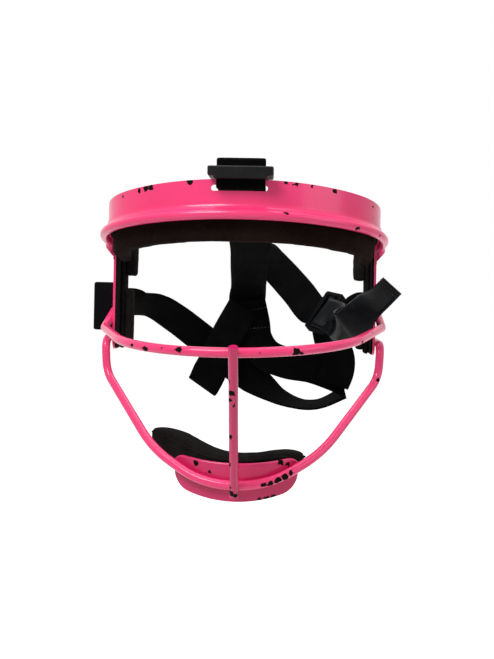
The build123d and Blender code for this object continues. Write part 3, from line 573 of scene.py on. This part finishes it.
PAINT_CHIPS: dict = {
    "guard_shell": (
        (-61, -62, 50, 1.5), (-56, -65.5, 51, 2), (-53, -68, 52, 2), (-28.5, -79, 54.5, 2.5),
        (-73, -51.5, 47.5, 1), (26.5, -79.5, 54, 1.5), (32, -77.5, 53.5, 1.5), (41.5, -74, 53, 1),
        (55, -66.5, 51.5, 1.5), (26.5, -84.5, 36.5, 1.5), (69.5, -61.5, 30, 1.5), (85.5, -42.5, 27, 1),
        (81, -40.5, 45, 1),
    ),
    "nose_bar": (
        (-77, -60, -36, 2), (-59.5, -82.5, -40, 1.5), (-50.5, -90.5, -41.5, 2), (-30, -102, -40, 2),
        (34, -100.5, -40, 2.5), (37, -99, -41.5, 1.5), (59.5, -79.5, -41.5, 1.5), (74, -62, -37.5, 1.5),
        (81, -51, -35.5, 1.5), (-68, -73, -38, 0.7), (-40, -97.5, -39.5, 0.7), (14, -107, -40.5, 0.8),
        (48, -90, -39, 0.8),
    ),
    "chin_loop": (
        (91, -9.5, -66.5, 1.5), (91, -8, -63.5, 1), (25.5, -66, -119, 2), (29.5, -64, -117.5, 2),
        (21, -67.5, -121, 2), (17.5, -68.5, -121.5, 1.5), (33, -62.5, -115.5, 1.5),
    ),
    "centre_rod": (
        (0, -113.5, -35, 2), (-2, -105.5, -55.5, 1), (-1, -103.5, -62.5, 2), (-2, -101, -67, 1.5),
        (0.5, -101, -69.5, 1), (-2, -91, -89, 1.5), (-2.5, -82.5, -106, 1.5), (-2, -76.5, -121, 1),
        (-1.5, -75, -124.5, 2), (1, -74.5, -126, 1.5),
    ),
    "chin_plate": (
        (-23.5, -60, -112, 1.5), (-15, -63.5, -116, 1), (27, -58.5, -110, 2), (31.5, -56, -112, 1.5),
        (18.5, -62, -131.5, 2), (23, -60.5, -131, 2), (14.5, -63, -132, 1.5),
    ),
}


# Pads


@dataclass
class FoamPad:
    """A foam pad under a stretched cover, puffed from its CAD solid.

    ``voxel``, ``puff`` (the most that a point moves out) and ``lumps`` are in millimetres, ``floor``
    is its lowest heights by x, and ``slack`` is the share of depth that is left under them.
    ``coarse`` and ``fine`` are the lumps' waves per metre.
    """

    node: str
    voxel: float
    puff: float
    fill: float
    lumps: float
    seed: int
    floor: tuple = ()
    slack: float = 0.08
    coarse: float = 60.0
    fine: float = 260.0
    fine_share: float = 0.4
    pressure: float = 4.0
    frames: int = 20

    def build(self, finish: bpy.types.Material) -> bpy.types.Object:
        """Args:
            finish: its cover.

        Returns:
            The pad.
        """
        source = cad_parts[self.node]
        pad = bpy.data.objects.new(self.node + "_cover", source.data.copy())
        pad.data.materials.clear()
        bpy.context.scene.collection.objects.link(pad)
        remesh = pad.modifiers.new("Even skin", "REMESH")
        remesh.mode = "VOXEL"
        remesh.voxel_size = self.voxel * MM
        bake(pad)
        rest = [v.co.copy() for v in pad.data.vertices]
        self.inflate(pad)
        self.settle(pad, rest)
        smooth = pad.modifiers.new("Finer skin", "SUBSURF")
        smooth.levels = smooth.render_levels = 1
        bake(pad)
        pad.data.shade_smooth()
        pad.data.materials.append(finish)
        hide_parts(self.node)
        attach(pad, "guard")
        LOG.info("padded %s with %d points", self.node, len(pad.data.vertices))
        return pad

    def inflate(self, pad: bpy.types.Object) -> None:
        """Lets the cover swell under pressure for its frames."""
        cloth = pad.modifiers.new("Cover", "CLOTH")
        cloth.settings.use_pressure = True
        cloth.settings.uniform_pressure_force = self.pressure
        cloth.settings.effector_weights.gravity = 0.0
        cloth.settings.quality = 4
        cloth.point_cache.frame_end = self.frames
        for step in range(1, self.frames + 1):
            bpy.context.scene.frame_set(step)
        bake(pad)

    def settle(self, pad: bpy.types.Object, rest: list) -> None:
        """Caps how far each point has moved and adds the cover's small lumps."""
        pad.data.update()
        for vertex, home in zip(pad.data.vertices, rest):
            moved = vertex.co - home
            if moved.length > self.puff * MM:
                moved = moved.normalized() * self.puff * MM
            place = home + moved
            swell = noise.noise(place * self.coarse + Vector((self.seed * 3.1, 0.0, 0.0)))
            fine = noise.noise(place * self.fine + Vector((0.0, self.seed * 5.7, 0.0)))
            vertex.co = place + vertex.normal * (swell + self.fine_share * fine) * self.lumps * MM
            self.lift(vertex)

    def lift(self, vertex: bpy.types.MeshVertex) -> None:
        """Squeezes the pad up to a lowest height that changes along X, where one is given."""
        for (x_from, z_from), (x_to, z_to) in zip(self.floor, self.floor[1:]):
            if x_from <= vertex.co.x / MM < x_to:
                share = (vertex.co.x / MM - x_from) / (x_to - x_from)
                low = (z_from + (z_to - z_from) * share) * MM
                if vertex.co.z < low:
                    vertex.co.z = low + (vertex.co.z - low) * self.slack


@dataclass
class Padding:
    """Every pad and the hook tape that holds it.

    ``small`` gives the puff and the lumps of the pads that both sides have. ``strips`` gives each tape's
    width and length. ``least``, in millimetres, is not used.
    ``seam_bend``, ``seam_step`` and ``seam_radius`` shape the chin pad's seam, in millimetres.
    """

    small: tuple = (("side", 0.2, 0.15), ("cheek", 0.5, 0.2), ("temple", 0.8, 0.9))
    strips: tuple = (
        ("forehead_hook_tape", 6.5, 252.0),
        ("left_hook_tape", 20.85, 74.0),
        ("right_hook_tape", 20.85, 74.0),
        ("chin_hook_tape", 12.0, 57.0),
    )
    least: float = 10.0
    seam_bend: float = 40.0
    seam_step: float = 1.2
    seam_radius: float = 0.75

    def build(self) -> None:
        """Dresses the pads and the tapes."""
        cover = PadCover("Pad cover").make()
        rib = PadCover("Black pad cover", colour=(0.004, 0.0035, 0.0035), pale=(0.018, 0.016, 0.015)).make()
        FoamPad("forehead_pad", voxel=1.9, puff=0.9, fill=0.85, lumps=0.30, seed=1).build(cover)
        FoamPad("chin_pad", voxel=1.5, puff=0.7, fill=0.9, lumps=0.25, seed=2, floor=CHIN_FLOOR).build(rib)
        self.seam(rib)
        for side in Side:
            for part, puff, lumps in self.small:
                node = side.word + "_" + part + "_pad"
                seed = 4 + side.value
                FoamPad(node, voxel=0.9, puff=puff, fill=0.8, lumps=lumps, seed=seed).build(rib)
        self.tapes()

    def seam(self, finish: bpy.types.Material) -> None:
        """Lays the raised seam along the chin pad's front edge."""
        bends = [self.seam_bend] * (len(CHIN_SEAM) - 1)
        route = even_route(rounded_route(CHIN_SEAM, bends), self.seam_step)
        seam = rod_object("chin_pad_seam", route, self.seam_radius, sides=10)
        seam.data.materials.append(finish)
        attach(seam, "guard")

    def tapes(self) -> None:
        """Dresses the hook tapes stuck inside the metal."""
        finish = HookTape("Hook tape").make()
        for node, width, length in self.strips:
            piece = merged_copy(node, node + "_strip")
            piece.data.materials.append(finish)
            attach(piece, "guard")


# The chin pad's lowest heights by x, and the seam along its front edge, in millimetres

CHIN_FLOOR = (
    (-80.0, -108.0), (-58.0, -109.5), (-42.0, -115.5), (-28.0, -126.0), (30.0, -128.0), (38.0, -118.0),
    (60.0, -112.0),
)
CHIN_SEAM = (
    (-55, -31.5, -100), (-45, -41.5, -100.5), (-35, -50, -103), (-24, -57, -106), (-14, -60.5, -108.5),
    (-4, -62, -109.5), (6, -62, -109.5), (16, -60, -108.5), (26.5, -56, -108), (36, -49.5, -109),
    (42, -40, -111),
)


# Harness


@dataclass
class Ribbon:
    """A length of webbing through stations, as the part's source lays it.

    ``start`` is its first point, ``shares`` are its stations as shares of ``size`` with directions
    across, and ``lead`` is a stretch of ready points before them. ``wave`` is how far its surface
    strays, ``ripple`` the width and length of a wave, and ``calm`` the steps over which the waves
    come in and go out at its ends.
    """

    name: str
    node: str | None
    width: float
    across: tuple
    start: tuple = ()
    shares: tuple = ()
    lead: tuple = ()
    body: str = "guard"
    held: str = "hung"
    wave: float = 0.5
    ripple: tuple = (30, 24)
    calm: tuple = (10, 6)
    thickness: float = 1.5
    thinned: float = 0.12
    steps: int = 9
    columns: int = 10
    size: tuple = (90.0, 100.0, 100.0)

    def route(self) -> tuple:
        """Returns the points along the middle and the directions across, smoothed."""
        across = Vector(self.across).normalized()
        centres = [Vector(self.start)] if self.start else []
        centres += [Vector([row[k] * self.size[k] for k in range(3)]) for row in self.shares]
        lies = [across] + [Vector(row[3:]).normalized() for row in self.shares]
        last = len(centres) - 1
        points, widths = [Vector(p) for p in self.lead], [across] * len(self.lead)
        for i in range(last):
            before, after = centres[max(i - 1, 0)], centres[min(i + 2, last)]
            reach = (centres[i + 1] - centres[i]).length
            for step in range(1 if self.lead and i == 0 else 0, self.steps + (i == last - 1)):
                t = step / self.steps
                ease = 3 * t**2 - 2 * t**3
                leave = (centres[i + 1] - before).normalized() * (t - 2 * t**2 + t**3)
                arrive = (after - centres[i]).normalized() * (t**3 - t**2)
                bend = (leave + arrive) * reach
                points.append(centres[i] * (1 - ease) + centres[i + 1] * ease + bend)
                widths.append(lies[i] * (1 - t) + lies[i + 1] * t)
        return points, widths

    def section(self) -> list:
        """Returns the webbing's cross-section as (across, through) pairs, its selvedges rounded."""
        half, thick = self.width / 2, self.thickness / 2
        flat = [-1 + 2 * k / self.columns for k in range(self.columns + 1)]
        upper = [(u * (half - thick), thick * (1 - self.thinned * (abs(u) == 1))) for u in flat]
        lower = [(-u, -v) for u, v in upper]
        return upper + [(half, 0.0)] + lower + [(-half, 0.0)]

    def build(self, finish: bpy.types.Material, seed: int, rests_on: list) -> bpy.types.Object:
        """Args:
            finish: its material.
            seed: moves the pattern of its small waves.
            rests_on: what carries it; not used.

        Returns:
            The strap.
        """
        points, widths = self.route()
        rings, runs, length = [], [], 0.0
        coming, going = self.calm
        for i, point in enumerate(points):
            run = (points[min(i + 1, len(points) - 1)] - points[max(i - 1, 0)]).normalized()
            side = (widths[i] - run * widths[i].dot(run)).normalized()
            out = run.cross(side)
            if i:
                length += (point - points[i - 1]).length
            ends = max(0.0, min(1.0, (i - len(self.lead)) / coming, (len(points) - 1 - i) / going))
            ring = []
            for u, v in self.section():
                spot = Vector((u / self.ripple[0], length / self.ripple[1], seed * 7.3))
                wave = noise.noise(spot) * self.wave * ends
                ring.append(point + side * u + out * (v + wave))
            rings.append(ring)
            runs.append(length)
        strap = tube_of_rings(self.name, rings, runs)
        strap.data.materials.append(finish)
        if self.node:
            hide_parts(self.node)
        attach(strap, self.body)
        LOG.info("wove %s, %.0f mm long", self.name, length)
        return strap

    def row(self, at: int, inset: float = 1.5, raised: float = 0.1) -> list:
        """Returns the two ends of a row across the strap's front face, at a step of its route."""
        points, widths = self.route()
        run = (points[at + 1] - points[at - 1]).normalized()
        side = (widths[at] - run * widths[at].dot(run)).normalized()
        out = run.cross(side)
        out = out if out.y < 0 else -out
        half = self.width / 2 - inset
        lift = out * (self.thickness / 2 + raised)
        return [points[at] - side * half + lift, points[at] + side * half + lift]


@dataclass
class Harness:
    """The webbing straps, as they hang in the photograph.

    ``slot`` is the side slots' y and z. ``inner`` and ``outer`` are how far from the middle the
    webbing lies inside and outside the side plates, ``anchor`` and ``rear_edge`` are the y of its
    first station and of the plates' rear edge, ``end`` is how far past ``outer`` the left strap's
    folded end reaches, and ``shift`` is how far right the top strap is.
    """

    width: float = 26.0
    top_width: float = 28.0
    webbing: float = 1.5
    bend: float = 1.3
    slot: tuple = (28.5, -23.0)
    inner: float = 87.4
    outer: float = 91.1
    anchor: float = 37.0
    rear_edge: float = 34.0
    end: tuple = (0.8, 8.0, 16.1)
    shift: float = 0.8

    def build(self) -> None:
        """Weaves every strap."""
        plain = Webbing("Black webbing").make()
        soft = Webbing("Worn webbing", colour=(0.0016, 0.0014, 0.0014), worn=(0.0065, 0.0055, 0.0055)).make()
        shiny = Webbing(
            "Glazed strap tail", colour=(0.0015, 0.002, 0.003), worn=(0.004, 0.005, 0.007),
            roughness=0.24, depth=0.05, shine=0.09,
        ).make()
        self.top(plain)
        self.left(soft)
        self.right(soft)
        yoke = Ribbon(
            "yoke_strap_webbing", "yoke_strap", self.width, (1, 0, 0), (self.shift, 95.3, -19.0), YOKE
        )
        yoke.build(soft, 4, ["top_strap"])
        lower = Ribbon(
            "lower_webbing", None, self.width, (0.97, 0.0, 0.22), (62.5, 66.0, -34.0), LOWER, wave=0.3
        )
        lower.build(soft, 7, ["yoke_strap_webbing"])
        tail = Ribbon(
            "strap_tail_webbing", "right_strap_tail", self.width, (0.50, 0.35, 0.76), (55.8, 56.0, -24.5),
            TAIL, wave=0.8,
        )
        tail.build(shiny, 5, ["right_slider"])
        rows = [yoke.row(4), yoke.row(12), tail.row(61), tail.row(59)]
        Stitching().build("harness_stitches", rows, "webbing")

    def top(self, finish: bpy.types.Material) -> None:
        """Weaves the top strap: tucked in the slot, up through its slider, and back over the head."""
        inside, outside, front, rear = -79.2, -84.1, -82.6, -76.8
        tucked, sill, edge, collar, crest, leaving = 55.3, 50.3, 56.9, 59.9, 66.8, 53.9
        x = self.shift
        corners = [
            (x, inside, tucked), (x, inside, sill), (x, outside, sill), (x, outside, edge),
            (x, front, collar), (x, front, crest), (x, rear, crest), (x, rear, leaving),
            (x, -32.8, 36.3),
        ]
        lead = rounded_route(corners, [self.bend] * 7, 0.4)
        strap = Ribbon(
            "top_strap_webbing", "top_strap", self.top_width, (1, 0, 0), lead[-1], TOP, tuple(lead),
            held="stretched",
        )
        strap.build(finish, 1, ["guard_shell"])

    def left(self, finish: bpy.types.Material) -> None:
        """Weaves the left strap and its folded end in the slider."""
        y, z = self.slot
        corners = [(-self.outer, y, z), (-self.inner, y, z), (-self.inner, self.anchor, z)]
        lead = rounded_route(corners, [self.bend], 0.4)
        strap = Ribbon(
            "left_strap_webbing", "left_side_strap", self.width, (0, 0, 1), lead[-1], LEFT, tuple(lead)
        )
        strap.build(finish, 2, ["guard_shell"])
        end = tuple((-self.outer - reach, y, z) for reach in self.end)
        flap = Ribbon(
            "left_end_webbing", "left_strap_end", self.width, (0, 0, 1), lead=end,
            body="left_slider_body", held="folded", wave=0.0,
        )
        flap.build(finish, 6, ["left_slider"])

    def right(self, finish: bpy.types.Material) -> None:
        """Weaves the right strap: through the slot, behind the top strap and down to its fold."""
        y, z = self.slot
        back, deep = self.inner + self.webbing, self.webbing
        corners = [
            (back, self.rear_edge + 5 * deep, z), (back, self.rear_edge + 3 * deep, z),
            (self.outer, self.rear_edge + deep, z), (self.outer, y, z), (self.inner, y, z),
            (self.inner, self.anchor, z),
        ]
        lead = rounded_route(corners, [self.bend] * 4, 0.4)
        strap = Ribbon(
            "right_strap_webbing", "right_side_strap", self.width, (0, 0, 1), lead[-1], RIGHT, tuple(lead),
            wave=0.3,
        )
        strap.build(finish, 3, ["guard_shell"])


@dataclass
class Stitching:
    """Rows of thread, each stitch repeated along its row by Geometry Nodes."""

    pitch: float = 2.6
    stitch: float = 1.7
    thread: float = 0.28
    sides: int = 8
    colour: tuple = (0.012, 0.012, 0.013)
    pale: tuple = (0.03, 0.03, 0.032)

    def build(self, name: str, rows: list, slot: str, body: str = "guard") -> bpy.types.Object:
        """Sews the rows and makes them one mesh.

        Args:
            name: the piece's name.
            rows: lists of points in millimetres, a row each.
            slot: the material slot that they belong to; not used.
            body: what they ride on.

        Returns:
            The stitches.
        """
        mesh = bpy.data.meshes.new(name)
        points, edges = [], []
        for row in rows:
            edges += [(len(points) + k, len(points) + k + 1) for k in range(len(row) - 1)]
            points += [Vector(p) * MM for p in row]
        mesh.from_pydata(points, edges, [])
        sewn = bpy.data.objects.new(name, mesh)
        bpy.context.scene.collection.objects.link(sewn)
        tree, sockets = self.tree()
        repeat = sewn.modifiers.new("Stitches", "NODES")
        repeat.node_group = tree
        for label, value in (("Pitch", self.pitch), ("Stitch", self.stitch), ("Thread", self.thread)):
            repeat[sockets[label]] = value * MM
        bake(sewn)
        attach(sewn, body)
        LOG.info("sewed %s", name)
        return sewn

    def tree(self) -> tuple:
        """Builds the node tree and returns it with its inputs' identifiers by name."""
        tree = bpy.data.node_groups.new("Thread stitches", "GeometryNodeTree")
        tree.interface.new_socket("Geometry", in_out="INPUT", socket_type="NodeSocketGeometry")
        tree.interface.new_socket("Geometry", in_out="OUTPUT", socket_type="NodeSocketGeometry")
        sockets = {}
        for label in ("Pitch", "Stitch", "Thread"):
            socket = tree.interface.new_socket(label, in_out="INPUT", socket_type="NodeSocketFloat")
            sockets[label] = socket.identifier
        start, end = tree.nodes.new("NodeGroupInput"), tree.nodes.new("NodeGroupOutput")
        curve = tree.nodes.new("GeometryNodeMeshToCurve")
        spread = tree.nodes.new("GeometryNodeCurveToPoints")
        spread.mode = "LENGTH"
        thread = tree.nodes.new("GeometryNodeMeshCylinder")
        thread.inputs["Vertices"].default_value = self.sides
        place = tree.nodes.new("GeometryNodeInstanceOnPoints")
        real = tree.nodes.new("GeometryNodeRealizeInstances")
        dress = tree.nodes.new("GeometryNodeSetMaterial")
        dress.inputs["Material"].default_value = self.finish()
        link = tree.links.new
        link(start.outputs["Geometry"], curve.inputs["Mesh"])
        link(curve.outputs["Curve"], spread.inputs["Curve"])
        link(start.outputs["Pitch"], spread.inputs["Length"])
        link(start.outputs["Stitch"], thread.inputs["Depth"])
        link(start.outputs["Thread"], thread.inputs["Radius"])
        link(spread.outputs["Points"], place.inputs["Points"])
        link(thread.outputs["Mesh"], place.inputs["Instance"])
        link(spread.outputs["Rotation"], place.inputs["Rotation"])
        link(place.outputs["Instances"], real.inputs["Geometry"])
        link(real.outputs["Geometry"], dress.inputs["Geometry"])
        link(dress.outputs["Geometry"], end.inputs["Geometry"])
        return tree, sockets

    def finish(self) -> bpy.types.Material:
        """Builds the thread's material on Object coordinates."""
        tree = Tree("Thread")
        place = tree.add("ShaderNodeTexCoord").outputs["Object"]
        lay = tree.noise(place, 3000.0, 2.0)
        tree.link(tree.mix(lay, self.colour, self.pale), tree.shader.inputs["Base Color"])
        tree.shader.inputs["Roughness"].default_value = 0.6
        tree.shader.inputs["Specular IOR Level"].default_value = 0.2
        return tree.material


@dataclass
class Sliders:
    """The moulded sliders, their edges eased by so many millimetres."""

    def build(self) -> None:
        """Dresses the three sliders."""
        plain = BlackPlastic("Slider plastic").make()
        dull = BlackPlastic("Dull slider plastic", roughness=0.6, shine=0.03).make()
        for node, ease, finish in (
            ("top_slider", 1.2, plain), ("left_slider", 0.9, dull), ("right_slider", 0.5, dull),
        ):
            piece = merged_copy(node, node + "_moulded", bevel=ease)
            piece.data.materials.append(finish)
            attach(piece, node + "_body")


# Stations of the straps: shares of the harness's sizes, and directions across. They are the part's
# source's, some of them moved a few millimetres to where the photograph shows the webbing

TOP = (
    (0.045, -0.05, 0.23, 1, 0, 0),
    (0.02, 0.50, 0.06, 1, 0, 0),
    (0.00, 0.90, -0.09, 1, 0, 0),
    (-0.02, 0.975, -0.17, 1, 0, 0),
    (-0.02, 0.99, -0.28, 1, 0, 0),
    (-0.025, 0.995, -0.42, 1, 0, 0),
)
LEFT = (
    (-0.965, 0.50, -0.225, 0.40, 0.00, 0.90),
    (-0.95, 0.60, -0.225, 0.76, 0.00, 0.65),
    (-0.81, 0.78, -0.245, 0.66, -0.35, 0.62),
    (-0.65, 0.90, -0.345, 0.62, -0.25, 0.70),
    (-0.44, 1.01, -0.50, 0.72, -0.12, 0.66),
    (-0.18, 1.06, -0.69, 0.80, 0.00, 0.56),
    (0.06, 1.04, -0.84, 0.82, 0.25, 0.40),
    (0.26, 0.96, -0.95, 0.60, 0.75, 0.20),
    (0.47, 0.86, -1.00, 0.20, 0.97, 0.12),
    (0.65, 0.80, -0.985, 0.05, 0.97, 0.12),
    (0.865, 0.775, -0.885, -0.10, 0.97, 0.15),
)
RIGHT = (
    (0.93, 0.44, -0.225, 0.05, 0.00, 1.00),
    (0.789, 0.515, -0.281, 0.50, 0.35, 0.76),
    (0.742, 0.557, -0.2726, 0.50, 0.35, 0.76),
    (0.602, 0.683, -0.2474, 0.50, 0.35, 0.76),
    (0.5555, 0.725, -0.239, 0.50, 0.35, 0.76),
    (0.45, 0.825, -0.12, 0.72, 0.02, 0.68),
    (0.33, 0.91, 0.00, 0.76, -0.02, 0.65),
    (0.20, 0.99, 0.125, 0.70, 0.20, 0.64),
    (0.12, 1.04, 0.22, 0.66, 0.50, 0.48),
    (0.06, 1.075, 0.24, 0.62, 0.70, 0.20),
    (0.03, 1.085, 0.15, 0.72, 0.62, -0.05),
    (0.02, 1.08, -0.01, 0.90, 0.30, -0.15),
    (0.00, 1.07, -0.22, 0.95, 0.00, -0.25),
    (-0.105, 1.02, -0.48, 0.84, 0.00, -0.50),
    (-0.235, 0.965, -0.62, 0.82, 0.00, -0.56),
    (-0.33, 0.91, -0.755, 0.82, 0.00, -0.56),
    (-0.375, 0.87, -0.855, 0.82, 0.00, -0.56),
    (-0.39, 0.84, -0.88, 0.82, 0.00, -0.56),
    (-0.37, 0.809, -0.855, 0.82, 0.00, -0.56),
    (-0.325, 0.83, -0.775, 0.84, 0.00, -0.52),
    (-0.265, 0.87, -0.64, 0.84, 0.00, -0.52),
    (-0.175, 0.90, -0.465, 0.86, 0.00, -0.50),
    (-0.04, 0.93, -0.24, 0.90, 0.00, -0.44),
)
YOKE = (
    (0.055, 0.955, -0.37, 0.96, 0.00, 0.28),
    (0.08, 0.95, -0.50, 0.94, 0.05, 0.32),
    (0.175, 0.93, -0.62, 0.89, 0.07, 0.45),
    (0.36, 0.88, -0.68, 0.68, 0.14, 0.72),
    (0.59, 0.83, -0.705, 0.58, 0.20, 0.79),
    (0.89, 0.77, -0.79, 0.30, 0.26, 0.90),
)
LOWER = (
    (0.73, 0.68, -0.48, 0.97, 0.00, 0.22),
    (0.79, 0.70, -0.61, 0.98, 0.00, 0.05),
    (0.79, 0.71, -0.71, 0.96, 0.00, -0.25),
    (0.75, 0.72, -0.815, 0.85, 0.00, -0.53),
)
TAIL = (
    (0.725, 0.455, -0.285, 0.50, 0.20, 0.82),
    (0.73, 0.28, -0.345, 0.00, 0.20, 0.97),
    (0.755, 0.12, -0.345, -0.45, 0.20, 0.85),
    (0.795, 0.00, -0.325, -0.66, 0.42, 0.60),
    (0.93, -0.085, -0.185, -0.52, 0.76, 0.40),
    (1.02, -0.105, -0.11, -0.45, 0.84, 0.32),
    (1.095, -0.115, -0.035, -0.43, 0.86, 0.29),
)


# Room, lamps and camera


@dataclass
class Studio:
    """White room, soft lamps and the photograph's camera.

    ``eye`` is in millimetres and the turns are in degrees. Each lamp is its name, place and size in
    metres, and power. ``glow`` is what the floor adds for the camera and for gloss, and ``ambient``
    is the room's light on everything else.
    """

    eye: tuple = (21.0, -489.3, 0.0)
    yaw: float = 2.2
    roll: float = 1.2
    lens: float = 39.33
    shift: float = -0.0797
    lamps: tuple = (
        ("Key", (-0.40, -0.70, 0.75), (0.5, 0.4), 10.0),
        ("Fill", (0.75, -0.45, 0.25), (0.5, 0.6), 1.5),
        ("Top", (0.0, 0.15, 0.95), (0.8, 0.8), 6.0),
    )
    floor_reach: float = 4000.0
    floor_height: float = -420.0
    pale: float = 0.9
    glow: float = 0.79
    ambient: float = 0.22

    def build(self) -> None:
        """Places camera, lamps, floor and world."""
        bpy.context.scene.view_settings.view_transform = "Standard"
        self.camera()
        for name, place, size, power in self.lamps:
            self.lamp(name, place, size, power)
        self.floor()
        self.world()

    def camera(self) -> None:
        """Adds the camera at the photograph's eye."""
        scene = bpy.context.scene
        camera = bpy.data.objects.new("Camera", bpy.data.cameras.new("Camera"))
        camera.location = Vector(self.eye) * MM
        camera.rotation_euler = (math.radians(90), math.radians(-self.roll), math.radians(self.yaw))
        camera.data.lens = self.lens
        camera.data.shift_y = self.shift
        camera.data.clip_start = 0.01
        scene.collection.objects.link(camera)
        scene.camera = camera

    def lamp(self, name: str, place: tuple, size: tuple, power: float) -> None:
        """Adds a soft rectangular lamp aimed at the guard."""
        light = bpy.data.lights.new(name, "AREA")
        light.shape = "RECTANGLE"
        light.size, light.size_y = size
        light.energy = power
        made = bpy.data.objects.new(name, light)
        made.location = place
        made.rotation_euler = (-Vector(place)).to_track_quat("-Z", "Y").to_euler()
        bpy.context.scene.collection.objects.link(made)

    def floor(self) -> None:
        """Adds the pale floor, which still takes the guard's shadow."""
        far, low = self.floor_reach, self.floor_height
        points = [(-far, -far, low), (far, -far, low), (far, far, low), (-far, far, low)]
        floor = mesh_object("Floor", points, [(0, 1, 2, 3)])
        tree = Tree("Pale floor")
        tree.shader.inputs["Base Color"].default_value = (self.pale, self.pale, self.pale, 1.0)
        tree.shader.inputs["Roughness"].default_value = 0.9
        path = tree.add("ShaderNodeLightPath")
        seen = tree.math("MAXIMUM", path.outputs["Is Camera Ray"], path.outputs["Is Glossy Ray"])
        tree.shader.inputs["Emission Color"].default_value = WHITE
        tree.link(tree.math("MULTIPLY", seen, self.glow), tree.shader.inputs["Emission Strength"])
        floor.data.materials.append(tree.material)

    def world(self) -> None:
        """Adds a world that the camera and gloss see as white, and that lights the rest less."""
        world = bpy.data.worlds.new("White room")
        bpy.context.scene.world = world
        world.use_nodes = True
        nodes, links = world.node_tree.nodes, world.node_tree.links
        sky = nodes["Background"]
        sky.inputs["Color"].default_value = WHITE
        rays = nodes.new("ShaderNodeLightPath")
        either = nodes.new("ShaderNodeMath")
        either.operation = "MAXIMUM"
        links.new(rays.outputs["Is Camera Ray"], either.inputs[0])
        links.new(rays.outputs["Is Glossy Ray"], either.inputs[1])
        level = nodes.new("ShaderNodeMapRange")
        links.new(either.outputs[0], level.inputs["Value"])
        level.inputs["To Min"].default_value = self.ambient
        level.inputs["To Max"].default_value = 1.0
        links.new(level.outputs["Result"], sky.inputs["Strength"])


def main() -> None:
    """Builds every sub-assembly in order."""
    logging.basicConfig(level=logging.INFO, format="%(name)s: %(message)s")
    Metalwork().build()
    Padding().build()
    Harness().build()
    Sliders().build()
    Studio().build()


if __name__ == "__main__":
    main()
